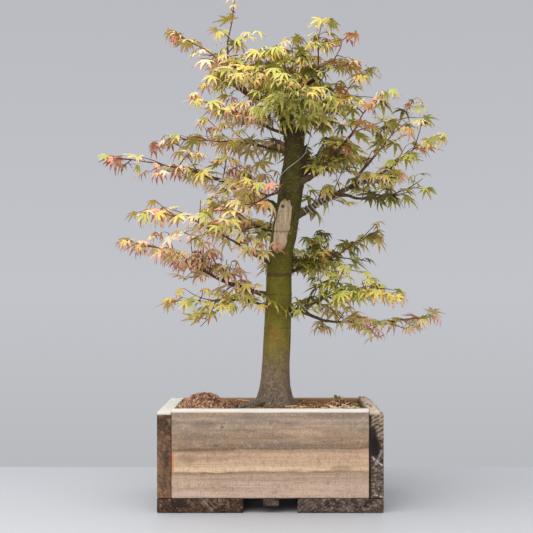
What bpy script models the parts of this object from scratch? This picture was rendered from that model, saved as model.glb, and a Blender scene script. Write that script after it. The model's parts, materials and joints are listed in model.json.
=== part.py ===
"""A young maple in a plank planter, modelled in Blender as separate named pieces.

The frame is in metres with +Z up. The origin is the middle of the planter's underside, on the ground,
and the planter's long front faces -Y. The trunk rises from a flat cut on the soil, each bough is one
tapering limb seated on what bears it, and each mass of foliage grows from one stem at its bough's tip.
"""

import math
import random
from collections import namedtuple

import bmesh
import bpy
import numpy as np
from mathutils import Matrix, Vector
from mathutils.bvhtree import BVHTree

GAP = 0.0003  # clearance between pieces that touch
WELD = 0.00001  # merge distance for a curve's loose caps

# Planter: rough sawn planks of one section, nailed into a box on two floor boards.
PLANTER_WIDTH = 0.410
PLANTER_DEPTH = 0.280
PLANK_WIDTH = 0.156
PLANK_THICKNESS = 0.026
WALL_HEIGHT = 0.1605
LEFT_END_DROP = 0.004  # the left end board stops this far below the rim
BACK_DROP = 0.003  # and so does the back board
BATTEN_WIDTH = 0.029
BATTEN_THICKNESS = 0.014
BATTEN_X = 0.0015
EDGE_WEAR = 0.0022
WALL_FOOT = PLANK_THICKNESS + GAP
RIM = PLANK_THICKNESS + WALL_HEIGHT

# Soil: level round the trunk's foot, a little below the rim, and heaped towards both ends.
SOIL_LEVEL = RIM - 0.005
SOIL_EDGE_DROP = 0.006
SOIL_EDGE_START = 0.80  # share of the way to the boards where the soil starts to drop
SOIL_FLAT_RADIUS = 0.056
SOIL_BLEND = 0.030
SOIL_GRID = (24, 15)
SOIL_LUMP = 0.0016  # the loose grains lie in low lumps and hollows
SOIL_LUMP_SPACING = (0.078, 0.064)
Heap = namedtuple("Heap", "x y height spread")
SOIL_HEAPS = (
    Heap(-0.140, -0.018, 0.0230, 0.031),
    Heap(-0.108, -0.030, 0.0175, 0.023),
    Heap(-0.135, 0.070, 0.0075, 0.036),
    Heap(0.134, -0.022, 0.0130, 0.027),
    Heap(0.092, -0.060, 0.0055, 0.026),
)

# Trunk: height above the ground, offset of its middle, radius.
Station = namedtuple("Station", "height x y radius")
TRUNK_FOOT = SOIL_LEVEL + GAP
TRUNK = (
    Station(TRUNK_FOOT, 0.0086, 0.000, 0.0268),
    Station(0.240, 0.0097, 0.001, 0.0262),
    Station(0.295, 0.0119, 0.002, 0.0262),
    Station(0.360, 0.0148, 0.001, 0.0254),
    Station(0.426, 0.0163, -0.001, 0.0242),
    Station(0.473, 0.0190, -0.001, 0.0240),
    Station(0.507, 0.0256, 0.000, 0.0244),
    Station(0.550, 0.0323, 0.001, 0.0236),
    Station(0.592, 0.0384, 0.001, 0.0238),
    Station(0.627, 0.0447, 0.000, 0.0242),
    Station(0.660, 0.0478, -0.001, 0.0216),
    Station(0.690, 0.0446, -0.001, 0.0180),
    Station(0.725, 0.0325, 0.000, 0.0142),
    Station(0.760, 0.0205, 0.000, 0.0110),
    Station(0.786, 0.0130, 0.000, 0.0078),
)
TRUNK_SIDES = 16
TRUNK_RINGS = 24
FLARE = 0.019  # how far the widest root ridge stands out at the soil
FLARE_HEIGHT = 0.024
FLARE_LOBES = ((20, 1.0), (95, 0.7), (170, 0.95), (235, 0.6), (300, 0.85))
FLARE_LOBE_WIDTH = 34.0
FLARE_REST = 0.26  # share of the flare left between the ridges
RING_CROWDING = 1.15  # the trunk's rings lie closer towards its foot
SCAR_AZIMUTH = 252.0  # the pruned face, turned to the front and left
SCAR_LOW = 0.478
SCAR_HIGH = 0.578
SCAR_DEPTH = 0.0185  # from the trunk's middle to the cut face
SCAR_SPREAD = 68.0  # how far round the trunk the cut face may run to either side
STUB_HEIGHT = 0.628  # a cut-off limb on the right
STUB_AZIMUTH = 350.0
STUB_REACH = 0.046
STUB_RISE = 0.020
STUB_RADII = (0.0095, 0.0080)

# Boughs: joint is a height on the trunk, or a share of the bough that bears them.
Bough = namedtuple("Bough", "name parent joint azimuth reach rise bow base tip")
BOUGHS = (
    Bough("left_long", "trunk", 0.546, 168, 0.109, 0.062, 0.004, 0.0080, 0.0042),
    Bough("left_high", "trunk", 0.660, 144, 0.084, 0.027, 0.001, 0.0033, 0.0023),
    Bough("left_upper", "trunk", 0.700, 219, 0.103, 0.025, -0.003, 0.0032, 0.0023),
    Bough("left_mid", "trunk", 0.450, 220, 0.087, 0.031, -0.004, 0.0034, 0.0024),
    Bough("left_low", "trunk", 0.388, 188, 0.112, 0.035, -0.003, 0.0048, 0.0032),
    Bough("left_lowest", "trunk", 0.357, 215, 0.081, 0.027, 0.006, 0.0032, 0.0023),
    Bough("leader", "trunk", 0.774, 180, 0.095, 0.034, -0.015, 0.0054, 0.0034),
    Bough("top_left", "leader", 0.611, 146, 0.060, 0.062, 0.002, 0.0031, 0.0022),
    Bough("top_mid", "trunk", 0.748, 237, 0.054, 0.040, -0.004, 0.0035, 0.0024),
    Bough("top_right", "trunk", 0.758, 2, 0.060, 0.047, 0.003, 0.0046, 0.0030),
    Bough("top_rise", "top_right", 0.688, 47, 0.066, 0.049, 0.003, 0.0031, 0.0022),
    Bough("shoulder", "trunk", 0.692, 34, 0.067, 0.052, 0.002, 0.0040, 0.0025),
    Bough("right_upper", "trunk", 0.607, 331, 0.088, 0.047, -0.009, 0.0058, 0.0034),
    Bough("right_long", "trunk", 0.534, 353, 0.152, 0.077, 0.004, 0.0063, 0.0037),
    Bough("right_rise", "right_long", 0.837, 41, 0.069, 0.070, 0.002, 0.0031, 0.0022),
    Bough("right_long_low", "right_long", 0.651, 31, 0.069, -0.006, -0.002, 0.0033, 0.0023),
    Bough("right_mid", "trunk", 0.430, 33, 0.079, 0.025, 0.001, 0.0033, 0.0023),
    Bough("right_mid_low", "trunk", 0.349, 338, 0.097, 0.041, -0.001, 0.0059, 0.0036),
    Bough("right_lowest", "right_mid_low", 0.473, 29, 0.062, -0.023, -0.004, 0.0034, 0.0025),
    Bough("front_upper", "trunk", 0.719, 271, 0.077, 0.019, 0.002, 0.0038, 0.0024),
    Bough("front_low", "trunk", 0.592, 247, 0.077, -0.009, 0.004, 0.0036, 0.0024),
    Bough("back_upper", "trunk", 0.735, 79, 0.079, 0.043, 0.002, 0.0040, 0.0026),
    Bough("back_mid", "trunk", 0.638, 69, 0.079, 0.025, 0.002, 0.0042, 0.0027),
    Bough("back_left", "trunk", 0.503, 118, 0.084, 0.022, 0.002, 0.0042, 0.0027),
    Bough("back_right", "trunk", 0.453, 73, 0.081, 0.010, 0.002, 0.0038, 0.0025),
)
BOUGH_POINTS = 7
BOUGH_CROOK = 0.0045  # sideways wander along a bough
COLLAR_SWELL = 0.38
COLLAR_REACH = 2.2  # in radii of the bough's base
TIP_RUN = 0.004  # straight end of a bough, and straight start of the stem beyond it

# Foliage: one row for each mass, from its bough's tip to its furthest leaf tip.
Spray = namedtuple("Spray", "bough azimuth reach rise lift pairs tint")
SPRAYS = (
    Spray("left_long", 172, 0.288, 0.067, 6, 4, "blush"),
    Spray("left_high", 148, 0.266, 0.032, 4, 4, "straw"),
    Spray("left_upper", 220, 0.133, 0.023, 8, 3, "straw"),
    Spray("left_mid", 216, 0.228, 0.071, 5, 4, "rose"),
    Spray("left_low", 185, 0.187, 0.083, 8, 4, "blush"),
    Spray("left_lowest", 223, 0.182, -0.003, -4, 3, "olive"),
    Spray("leader", 0, 0.014, 0.207, 82, 4, "rose"),
    Spray("top_left", 149, 0.129, 0.088, 30, 4, "straw"),
    Spray("top_mid", 216, 0.126, 0.019, 10, 4, "olive"),
    Spray("top_right", 285, 0.062, 0.116, 62, 3, "straw"),
    Spray("top_rise", 56, 0.099, 0.097, 45, 3, "rose"),
    Spray("shoulder", 46, 0.157, 0.130, 36, 3, "olive"),
    Spray("right_upper", 304, 0.154, 0.111, 24, 3, "olive"),
    Spray("right_long", 352, 0.150, 0.099, 28, 3, "olive"),
    Spray("right_rise", 46, 0.126, 0.124, 42, 3, "straw"),
    Spray("right_long_low", 31, 0.156, 0.034, 6, 3, "lime"),
    Spray("right_mid", 46, 0.204, 0.070, 12, 4, "lime"),
    Spray("right_mid_low", 314, 0.173, 0.009, -6, 3, "lime"),
    Spray("right_lowest", 5, 0.212, 0.007, 6, 4, "blush"),
    Spray("front_upper", 276, 0.222, 0.008, 0, 4, "lime"),
    Spray("front_low", 240, 0.206, -0.071, -14, 3, "rose"),
    Spray("back_upper", 90, 0.200, 0.111, 20, 4, "olive"),
    Spray("back_mid", 64, 0.218, 0.044, 8, 3, "lime"),
    Spray("back_left", 120, 0.227, 0.082, 16, 3, "straw"),
    Spray("back_right", 73, 0.212, -0.012, -2, 3, "olive"),
)
LEAF_OVERHANG = 0.036  # how far the last leaves reach past the stem
STEM_POINTS = 6
STEM_TIP = 0.0012
STEM_FOOT = 0.94  # a stem's foot as a share of its bough's tip
STEEP = 0.85  # upward share past which a stem sends its twigs all round
FIRST_PAIR = 0.30  # where the pairs of twigs start and stop along a stem, in spaces between pairs
PAIR_REST = 0.15
TWIG_REACH = 0.080  # side twig at the foot of a stem
TWIG_SHORTER = 0.5  # share that it loses by the tip
TWIG_RADIUS = 0.0018
TWIG_ANGLE = (42, 66)
TWIG_LIFT = (-22, 30)
SLOPE_KEPT = 0.45  # share of a stem's slope that its twigs take over
TRIES = 6
TRY_SHRINK = 0.90

# Leaf: five lobes, as (angle from the middle lobe, length), with notches between them.
LEAF_REACH = 0.055
LEAF_SIZES = (0.86, 1.12)
YOUNG_LEAF = 0.76  # size of the leaves at a shoot's tip
BLADE_BEND = (28, 76)  # how far a blade bends down from its stalk, in degrees
BLADE_ASIDE = 17  # and how far it may turn aside
BLADE_STEEPEST = -84
LEAF_THICKNESS = 0.0014
LEAF_LOBES = ((-92, 0.60), (-45, 0.88), (0, 1.00), (45, 0.88), (92, 0.60))
LEAF_NOTCHES = ((-150, 0.08), (-67, 0.36), (-22, 0.42), (22, 0.42), (67, 0.36), (150, 0.08))
LEAF_SAG = 0.30
STALK_REACH = 0.017
STALK_RADIUS = 0.0008
SPACE_MARGIN = 0.0016
LIMB_MARGIN = 0.0010

# Finishes: colour as it looks on a screen, and roughness.
FINISHES = {
    "weathered_plank": ((150, 133, 112), 0.88),
    "brown_plank": ((98, 76, 58), 0.86),
    "pale_batten": ((176, 155, 126), 0.85),
    "clay_soil": ((120, 84, 62), 0.95),
    "green_bark": ((104, 104, 52), 0.82),
    "bough_bark": ((92, 72, 50), 0.80),
    "olive": ((138, 142, 62), 0.60),
    "lime": ((158, 166, 70), 0.58),
    "straw": ((186, 172, 92), 0.60),
    "blush": ((204, 160, 116), 0.62),
    "rose": ((202, 142, 116), 0.62),
}


# Scene, materials and small helpers

def clear_scene():
    for item in list(bpy.data.objects):
        bpy.data.objects.remove(item)


def make_collection(name):
    collection = bpy.data.collections.new(name)
    bpy.context.scene.collection.children.link(collection)
    return collection


def linear(channel):
    value = channel / 255.0
    return value / 12.92 if value <= 0.04045 else ((value + 0.055) / 1.055) ** 2.4


def make_finishes():
    finishes = {}
    for name, (colour, roughness) in FINISHES.items():
        material = bpy.data.materials.new(name)
        material.use_nodes = True
        shader = material.node_tree.nodes["Principled BSDF"]
        shader.inputs["Base Color"].default_value = (*[linear(c) for c in colour], 1.0)
        shader.inputs["Roughness"].default_value = roughness
        shader.inputs["Metallic"].default_value = 0.0
        finishes[name] = material
    return finishes


def add_object(name, mesh, collection, material):
    item = bpy.data.objects.new(name, mesh)
    collection.objects.link(item)
    mesh.materials.clear()
    mesh.materials.append(material)
    return item


def mesh_from_bmesh(name, shape):
    mesh = bpy.data.meshes.new(name)
    shape.to_mesh(mesh)
    shape.free()
    return mesh


def heading(azimuth, elevation=0.0):
    """Unit vector at an azimuth from +X about +Z and an elevation, both in degrees."""
    turn, lift = math.radians(azimuth), math.radians(elevation)
    flat = math.cos(lift)
    return Vector((flat * math.cos(turn), flat * math.sin(turn), math.sin(lift)))


def turn_between(start, end):
    """The turn in degrees from one azimuth to another, the short way round."""
    return (end - start + 180.0) % 360.0 - 180.0


def smooth_step(value):
    share = min(max(value, 0.0), 1.0)
    return share * share * (3.0 - 2.0 * share)


# Planter

def make_board(name, low, high, collection, material):
    """A rough sawn board between two corners, its arrises worn."""
    size = Vector(high) - Vector(low)
    middle = (Vector(high) + Vector(low)) / 2
    shape = bmesh.new()
    bmesh.ops.create_cube(shape, size=1.0, matrix=Matrix.Diagonal(size.to_4d()))
    board = add_object(name, mesh_from_bmesh(name, shape), collection, material)
    board.location = middle
    wear = board.modifiers.new("wear", "BEVEL")
    wear.width = EDGE_WEAR
    wear.segments = 1
    return board


def make_planter(collection, finishes):
    half_width, half_depth = PLANTER_WIDTH / 2, PLANTER_DEPTH / 2
    inner = half_width - PLANK_THICKNESS
    brown, faded = finishes["brown_plank"], finishes["weathered_plank"]
    for name, side, top in (("left", -1, RIM - LEFT_END_DROP), ("right", 1, RIM)):
        outer, floor_inner = side * half_width, side * (half_width - PLANK_WIDTH)
        floor_x = sorted((outer, floor_inner))
        make_board(f"{name}_floor_board", (floor_x[0], -half_depth, 0),
                   (floor_x[1], half_depth, PLANK_THICKNESS), collection, brown)
        end_x = sorted((outer, side * inner))
        make_board(f"{name}_end_board", (end_x[0], -half_depth, WALL_FOOT), (end_x[1], half_depth, top),
                   collection, brown)
    reach = inner - GAP
    for name, side, top in (("front", -1, RIM), ("back", 1, RIM - BACK_DROP)):
        wall_y = sorted((side * half_depth, side * (half_depth - PLANK_THICKNESS)))
        make_board(f"{name}_board", (-reach, wall_y[0], WALL_FOOT), (reach, wall_y[1], top), collection,
                   faded)
    batten_x = (BATTEN_X - BATTEN_WIDTH / 2, BATTEN_X + BATTEN_WIDTH / 2)
    make_board("drain_batten", (batten_x[0], -half_depth, PLANK_THICKNESS - BATTEN_THICKNESS),
               (batten_x[1], half_depth, PLANK_THICKNESS), collection, finishes["pale_batten"])


# Soil

def soil_height(x, y, half_x, half_y):
    """Level at the trunk's foot, heaped towards the ends, lumpy, and lower along the boards."""
    edge = max(abs(x) / half_x, abs(y) / half_y)
    height = -SOIL_EDGE_DROP * smooth_step((edge - SOIL_EDGE_START) / (1 - SOIL_EDGE_START))
    for heap in SOIL_HEAPS:
        distance = math.hypot(x - heap.x, y - heap.y)
        height += heap.height * math.exp(-((distance / heap.spread) ** 2))
    turns = (2 * math.pi * x / SOIL_LUMP_SPACING[0], 2 * math.pi * y / SOIL_LUMP_SPACING[1])
    height += SOIL_LUMP * math.sin(turns[0] + math.sin(turns[1])) * math.cos(turns[1])
    from_trunk = math.hypot(x - TRUNK[0].x, y - TRUNK[0].y)
    return SOIL_LEVEL + height * smooth_step((from_trunk - SOIL_FLAT_RADIUS) / SOIL_BLEND)


def make_soil(collection, material):
    half_x = PLANTER_WIDTH / 2 - PLANK_THICKNESS - 2 * GAP
    half_y = PLANTER_DEPTH / 2 - PLANK_THICKNESS - GAP
    shape = bmesh.new()
    bmesh.ops.create_grid(shape, x_segments=SOIL_GRID[0], y_segments=SOIL_GRID[1], size=1.0,
                          matrix=Matrix.Diagonal((half_x, half_y, 1.0, 1.0)))
    top = list(shape.faces)
    grown = bmesh.ops.extrude_face_region(shape, geom=top, use_keep_orig=True)["geom"]
    surface = {item for item in grown if isinstance(item, bmesh.types.BMVert)}
    for vert in shape.verts:
        if vert in surface:
            vert.co.z = soil_height(vert.co.x, vert.co.y, half_x, half_y)
        else:
            vert.co.z = WALL_FOOT
    bmesh.ops.recalc_face_normals(shape, faces=shape.faces)
    underside = [face for face in shape.faces if face.normal.z < -0.99]
    bmesh.ops.dissolve_faces(shape, faces=underside, use_verts=True)
    add_object("soil", mesh_from_bmesh("soil", shape), collection, material)


# Trunk

def along(rows, share):
    """A point on the smooth curve through rows of numbers, share running from 0 to 1."""
    rows = np.array(rows, dtype=float)
    place = min(max(share, 0.0), 1.0) * (len(rows) - 1)
    first = min(int(place), len(rows) - 2)
    t = place - first
    before, after = rows[max(first - 1, 0)], rows[min(first + 2, len(rows) - 1)]
    start, end = rows[first], rows[first + 1]
    leave, arrive = (end - before) / 2, (after - start) / 2
    return ((2 * t**3 - 3 * t**2 + 1) * start + (t**3 - 2 * t**2 + t) * leave
            + (3 * t**2 - 2 * t**3) * end + (t**3 - t**2) * arrive)


def trunk_at(height):
    """Middle and radius of the trunk at a height above the ground."""
    heights = [row.height for row in TRUNK]
    share = float(np.interp(height, heights, np.linspace(0, 1, len(TRUNK))))
    _, x, y, radius = along(TRUNK, share)
    return Vector((x, y, height)), float(radius)


def trunk_radius(height, azimuth, radius):
    """The trunk's reach at one azimuth: its round, its root ridges and the flat pruned face."""
    ridge = max(weight * math.exp(-((turn_between(lobe, azimuth) / FLARE_LOBE_WIDTH) ** 2))
                for lobe, weight in FLARE_LOBES)
    flare = FLARE * (FLARE_REST + (1 - FLARE_REST) * ridge)
    reach = radius + flare * math.exp(-(height - TRUNK_FOOT) / FLARE_HEIGHT)
    turn = turn_between(SCAR_AZIMUTH, azimuth)
    if SCAR_LOW <= height <= SCAR_HIGH and abs(turn) < SCAR_SPREAD:
        reach = min(reach, SCAR_DEPTH / math.cos(math.radians(turn)))
    return reach


def make_trunk(collection, material):
    foot, tip = TRUNK[0].height, TRUNK[-1].height
    shape = bmesh.new()
    rings = []
    for index in range(TRUNK_RINGS):
        height = foot + (tip - foot) * (index / (TRUNK_RINGS - 1)) ** RING_CROWDING
        middle, radius = trunk_at(height)
        ring = []
        for side in range(TRUNK_SIDES):
            azimuth = 360.0 * side / TRUNK_SIDES
            ring.append(shape.verts.new(middle + trunk_radius(height, azimuth, radius) * heading(azimuth)))
        rings.append(ring)
    for low, high in zip(rings, rings[1:]):
        for side in range(TRUNK_SIDES):
            after = (side + 1) % TRUNK_SIDES
            shape.faces.new((low[side], low[after], high[after], high[side]))
    shape.faces.new(reversed(rings[0]))
    shape.faces.new(rings[-1])
    trunk = add_object("trunk", mesh_from_bmesh("trunk", shape), collection, material)
    start, _ = trunk_at(STUB_HEIGHT)
    end = start + STUB_REACH * heading(STUB_AZIMUTH) + Vector((0, 0, STUB_RISE))
    stub = tube("stub", [start, start.lerp(end, 0.6), end], [STUB_RADII[0], STUB_RADII[0], STUB_RADII[1]], 2)
    combine(trunk, "UNION", [stub])
    shade_round(trunk.data)
    return trunk


# Limbs

def tube(name, points, radii, resolution):
    """A closed tapering tube as a mesh object outside every collection."""
    curve = bpy.data.curves.new(name, "CURVE")
    curve.dimensions = "3D"
    curve.bevel_depth = radii[0]
    curve.bevel_resolution = resolution
    curve.use_fill_caps = True
    spline = curve.splines.new("POLY")
    spline.points.add(len(points) - 1)
    for target, point, radius in zip(spline.points, points, radii):
        target.co = (*point, 1.0)
        target.radius = radius / radii[0]
    source = bpy.data.objects.new(name, curve)
    bpy.context.scene.collection.objects.link(source)
    mesh = bpy.data.meshes.new_from_object(source.evaluated_get(bpy.context.evaluated_depsgraph_get()))
    shape = bmesh.new()
    shape.from_mesh(mesh)
    bmesh.ops.remove_doubles(shape, verts=shape.verts, dist=WELD)
    bmesh.ops.recalc_face_normals(shape, faces=shape.faces)
    shape.to_mesh(mesh)
    shape.free()
    place = source.matrix_world.copy()
    bpy.data.objects.remove(source)
    result = bpy.data.objects.new(name, mesh)
    result.matrix_world = place
    return result


def shade_round(mesh):
    mesh.shade_smooth()
    mesh.set_sharp_from_angle(angle=math.radians(50))


def apply_modifiers(item):
    """Replace an object's mesh by its evaluated one, and take its modifiers off."""
    mesh = bpy.data.meshes.new_from_object(item.evaluated_get(bpy.context.evaluated_depsgraph_get()))
    item.modifiers.clear()
    item.data = mesh


def combine(item, operation, others, solver="EXACT"):
    """Union with, or cut by, loose mesh objects in one step, then drop them and any scrap."""
    workshop = make_collection("workshop")
    for other in others:
        workshop.objects.link(other)
    modifier = item.modifiers.new("combine", "BOOLEAN")
    modifier.operation = operation
    modifier.operand_type = "COLLECTION"
    modifier.collection = workshop
    modifier.solver = solver
    apply_modifiers(item)
    for other in others:
        bpy.data.objects.remove(other)
    bpy.data.collections.remove(workshop)
    keep_largest(item.data)


def body_volume(faces):
    """Signed volume of a closed body, from its faces."""
    total = 0.0
    for face in faces:
        corners = [vert.co for vert in face.verts]
        for second, third in zip(corners[1:], corners[2:]):
            total += corners[0].dot(second.cross(third)) / 6.0
    return total


def keep_largest(mesh):
    """Leave one closed body: loose scraps and the walls of sealed hollows go."""
    shape = bmesh.new()
    shape.from_mesh(mesh)
    unseen = set(shape.faces)
    bodies = []
    while unseen:
        front = [unseen.pop()]
        body = list(front)
        while front:
            face = front.pop()
            for edge in face.edges:
                for other in edge.link_faces:
                    if other in unseen:
                        unseen.remove(other)
                        body.append(other)
                        front.append(other)
        bodies.append(body)
    bodies.sort(key=body_volume)
    scraps = [face for body in bodies[:-1] for face in body]
    bmesh.ops.delete(shape, geom=scraps, context="FACES")
    loose = [vert for vert in shape.verts if not vert.link_faces]
    bmesh.ops.delete(shape, geom=loose, context="VERTS")
    shape.to_mesh(mesh)
    shape.free()


def swollen_copy(item, margin):
    """A loose copy of a piece, grown outwards by a margin, to cut its neighbour back."""
    shape = bmesh.new()
    shape.from_mesh(item.data)
    shape.normal_update()
    moves = [vert.normal * margin for vert in shape.verts]
    for vert, move in zip(shape.verts, moves):
        vert.co += move
    return bpy.data.objects.new(item.name + "_swollen", mesh_from_bmesh(item.name, shape))


class Limb:
    """A bough's middle line: an arch from its joint to its tip, with a sideways wander."""

    def __init__(self, row, start):
        self.row = row
        self.start = start
        self.end = start + row.reach * heading(row.azimuth) + Vector((0, 0, row.rise))
        self.side = heading(row.azimuth + 90)
        self.phase = random.Random(row.name).uniform(0, 2 * math.pi)

    def point(self, share):
        arch = 4 * share * (1 - share)
        wander = BOUGH_CROOK * arch * math.sin(2 * math.pi * share + self.phase)
        lift = Vector((0, 0, self.row.bow * arch))
        return self.start.lerp(self.end, share) + lift + wander * self.side

    def heading(self, share, step=0.04):
        return (self.point(share) - self.point(share - step)).normalized()

    def tip_heading(self):
        return self.heading(1.0)

    def radius(self, share, seat):
        """Taper, with a collar where the bough leaves what bears it, at the share seat."""
        taper = self.row.tip + (self.row.base - self.row.tip) * (1 - share) ** 0.9
        past_seat = max(share - seat, 0.0) * self.row.reach / (COLLAR_REACH * self.row.base)
        return taper * (1 + COLLAR_SWELL * math.exp(-past_seat**2))


def make_boughs(trunk, collection, material):
    limbs, items = {}, {"trunk": trunk}
    for row in BOUGHS:
        if row.parent == "trunk":
            start, parent_radius = trunk_at(row.joint)
        else:
            start = limbs[row.parent].point(row.joint)
            parent_radius = limbs[row.parent].row.base
        limb = Limb(row, start)
        seat = parent_radius / row.reach
        shares = [(index / (BOUGH_POINTS - 1)) ** 1.2 for index in range(BOUGH_POINTS)]
        points = [limb.point(share) for share in shares]
        points.insert(-1, limb.end - TIP_RUN * limb.tip_heading())
        radii = [limb.radius(share, seat) for share in shares]
        radii.insert(-1, radii[-1])
        bough = tube(row.name + "_bough", points, radii, 1)
        collection.objects.link(bough)
        bough.data.materials.append(material)
        combine(bough, "DIFFERENCE", [swollen_copy(items[row.parent], GAP)])
        shade_round(bough.data)
        limbs[row.name], items[row.name] = limb, bough
    return limbs, list(items.values())


# Foliage

class Stem:
    """The middle line of a mass of foliage, from just past its bough's tip to its own tip."""

    def __init__(self, row, limb):
        self.row = row
        self.base = limb.row.tip * STEM_FOOT
        leave = limb.tip_heading()
        self.start = limb.end + GAP * leave
        self.turn = self.start + TIP_RUN * leave
        run = row.reach * heading(row.azimuth) + Vector((0, 0, row.rise))
        self.end = limb.end + run - LEAF_OVERHANG * run.normalized()
        length = (self.end - self.turn).length
        self.controls = (self.turn, self.turn + leave * length * 0.33,
                         self.end - heading(row.azimuth, row.lift) * length * 0.33, self.end)

    def point(self, share):
        a, b, c, d = self.controls
        rest = 1 - share
        return a * rest**3 + b * 3 * share * rest**2 + c * 3 * share**2 * rest + d * share**3

    def heading(self, share):
        return (self.point(min(share + 0.03, 1.0)) - self.point(max(share - 0.03, 0.0))).normalized()

    def radius(self, share):
        return STEM_TIP + (self.base - STEM_TIP) * (1 - share)

    def line(self):
        return [self.start] + [self.point(index / (STEM_POINTS - 2)) for index in range(STEM_POINTS - 1)]


class Spaces:
    """Each mass keeps to the space that is nearer its own stem than any other."""

    def __init__(self, stems):
        self.owners = []
        starts, ends = [], []
        for name, stem in stems.items():
            line = stem.line()
            for start, end in zip(line, line[1:]):
                self.owners.append(name)
                starts.append(start)
                ends.append(end)
        self.owners = np.array(self.owners)
        self.starts = np.array(starts)
        self.runs = np.array(ends) - self.starts

    def holds(self, name, points):
        points = np.array(points)
        offset = points[:, None, :] - self.starts[None, :, :]
        share = np.clip((offset * self.runs).sum(2) / (self.runs**2).sum(1), 0.0, 1.0)
        distance = np.linalg.norm(offset - share[:, :, None] * self.runs, axis=2)
        own = distance[:, self.owners == name].min(1)
        others = distance[:, self.owners != name].min(1)
        return bool((own + 2 * SPACE_MARGIN < others).all())


def limb_tree(items):
    """All the limbs' surfaces, grown by a margin, for finding what would touch them."""
    verts, faces = [], []
    for item in items:
        copy = swollen_copy(item, LIMB_MARGIN)
        offset = len(verts)
        verts += [vert.co.copy() for vert in copy.data.vertices]
        faces += [[offset + index for index in face.vertices] for face in copy.data.polygons]
        bpy.data.objects.remove(copy)
    return BVHTree.FromPolygons(verts, faces)


def tree_of(mesh):
    return BVHTree.FromPolygons([vert.co for vert in mesh.vertices],
                                [list(face.vertices) for face in mesh.polygons])


def leaf_mesh(root, stalk, length, radius, blade, size):
    """A five-lobed leaf on a three-sided stalk or twig; its blade is thickest in the middle and sags."""
    across = blade.cross(Vector((0, 0, 1))).normalized()
    up = across.cross(blade).normalized()
    middle = root + stalk * length

    def place(angle, share):
        turn, reach = math.radians(angle), share * LEAF_REACH * size
        sag = LEAF_SAG * reach * share
        return middle + reach * (math.cos(turn) * blade + math.sin(turn) * across) - sag * up

    shape = bmesh.new()
    outline = [shape.verts.new(place(*row)) for row in sorted(LEAF_LOBES + LEAF_NOTCHES)]
    top = shape.verts.new(middle + up * LEAF_THICKNESS / 2)
    bottom = shape.verts.new(middle - up * LEAF_THICKNESS / 2)
    for first, second in zip(outline, outline[1:]):
        shape.faces.new((top, first, second))
        shape.faces.new((bottom, second, first))
    flank = (across - across.dot(stalk) * stalk).normalized()
    ridge = flank.cross(stalk)
    root_top = shape.verts.new(root + ridge * radius)
    root_left = shape.verts.new(root - (ridge * 0.5 + flank * 0.87) * radius)
    root_right = shape.verts.new(root - (ridge * 0.5 - flank * 0.87) * radius)
    left, right = outline[0], outline[-1]
    for corners in ((top, right, root_right), (top, root_right, root_top), (top, root_top, root_left),
                    (top, root_left, left), (bottom, left, root_left), (bottom, root_left, root_right),
                    (bottom, root_right, right), (root_top, root_right, root_left)):
        shape.faces.new(corners)
    bmesh.ops.recalc_face_normals(shape, faces=shape.faces)
    return mesh_from_bmesh("leaf", shape)


def turned(direction, angle, lift):
    """A direction turned sideways by an angle; it keeps part of its slope and adds a lift, in degrees."""
    flat = math.degrees(math.atan2(direction.y, direction.x))
    slope = math.degrees(math.asin(max(-1.0, min(1.0, direction.z))))
    return heading(flat + angle, slope * SLOPE_KEPT + lift)


def hanging(stalk, draw):
    """A blade's direction, bent down from its stalk's; the more it is bent, the less it turns aside."""
    aside, bend = draw.uniform(-BLADE_ASIDE, BLADE_ASIDE), draw.uniform(*BLADE_BEND)
    flat = math.degrees(math.atan2(stalk.y, stalk.x))
    slope = math.degrees(math.asin(max(-1.0, min(1.0, stalk.z))))
    return heading(flat + aside * math.cos(math.radians(bend)), max(slope - bend, BLADE_STEEPEST))


def sideways(direction, side, angle, lift):
    """A direction to one side of a stem; a steep stem sends its twigs all round."""
    if abs(direction.z) > STEEP:
        return heading(side * 90 + angle * 3, 18 + lift)
    return turned(direction, side * angle, lift)


class Mass:
    """Collects the twigs and leaves of one mass that fit its own space."""

    def __init__(self, name, spaces, limbs):
        self.name = name
        self.spaces = spaces
        self.limbs = limbs
        self.pieces = []
        self.leaves = []

    def try_leaf(self, mesh):
        """Take a leaf that keeps to this mass's space, clear of the limbs and of its other leaves."""
        middles = [(mesh.vertices[a].co + mesh.vertices[b].co) / 2 for a, b in mesh.edge_keys]
        points = [vert.co for vert in mesh.vertices] + middles
        shape = tree_of(mesh)
        fitted = self.spaces.holds(self.name, points) and not self.limbs.overlap(shape)
        fitted = fitted and not any(leaf.overlap(shape) for leaf in self.leaves)
        if not fitted:
            bpy.data.meshes.remove(mesh)
            return None
        self.pieces.append(bpy.data.objects.new("leaf", mesh))
        return shape

    def add_leaf(self, root, direction, draw, scale=1.0):
        for attempt in range(TRIES):
            size = draw.uniform(*LEAF_SIZES) * scale * TRY_SHRINK**attempt
            stalk = turned(direction, draw.uniform(-16, 16), draw.uniform(0, 22))
            blade = hanging(stalk, draw)
            shape = self.try_leaf(leaf_mesh(root, stalk, STALK_REACH * size, STALK_RADIUS, blade, size))
            if shape:
                self.leaves.append(shape)
                return

    def add_twig(self, start, stem_heading, side, share, draw):
        """One side twig that ends in a leaf and bears another half-way."""
        for attempt in range(TRIES):
            length = TWIG_REACH * (1 - TWIG_SHORTER * share) * draw.uniform(0.85, 1.15) * TRY_SHRINK**attempt
            twig = sideways(stem_heading, side, draw.uniform(*TWIG_ANGLE), draw.uniform(*TWIG_LIFT))
            blade = hanging(twig, draw)
            size = draw.uniform(*LEAF_SIZES) * TRY_SHRINK**attempt
            shape = self.try_leaf(leaf_mesh(start, twig, length, TWIG_RADIUS, blade, size))
            if shape:
                self.add_leaf(start + twig * length * 0.5, turned(twig, side * 60, 4), draw)
                self.leaves.append(shape)
                return


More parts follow.
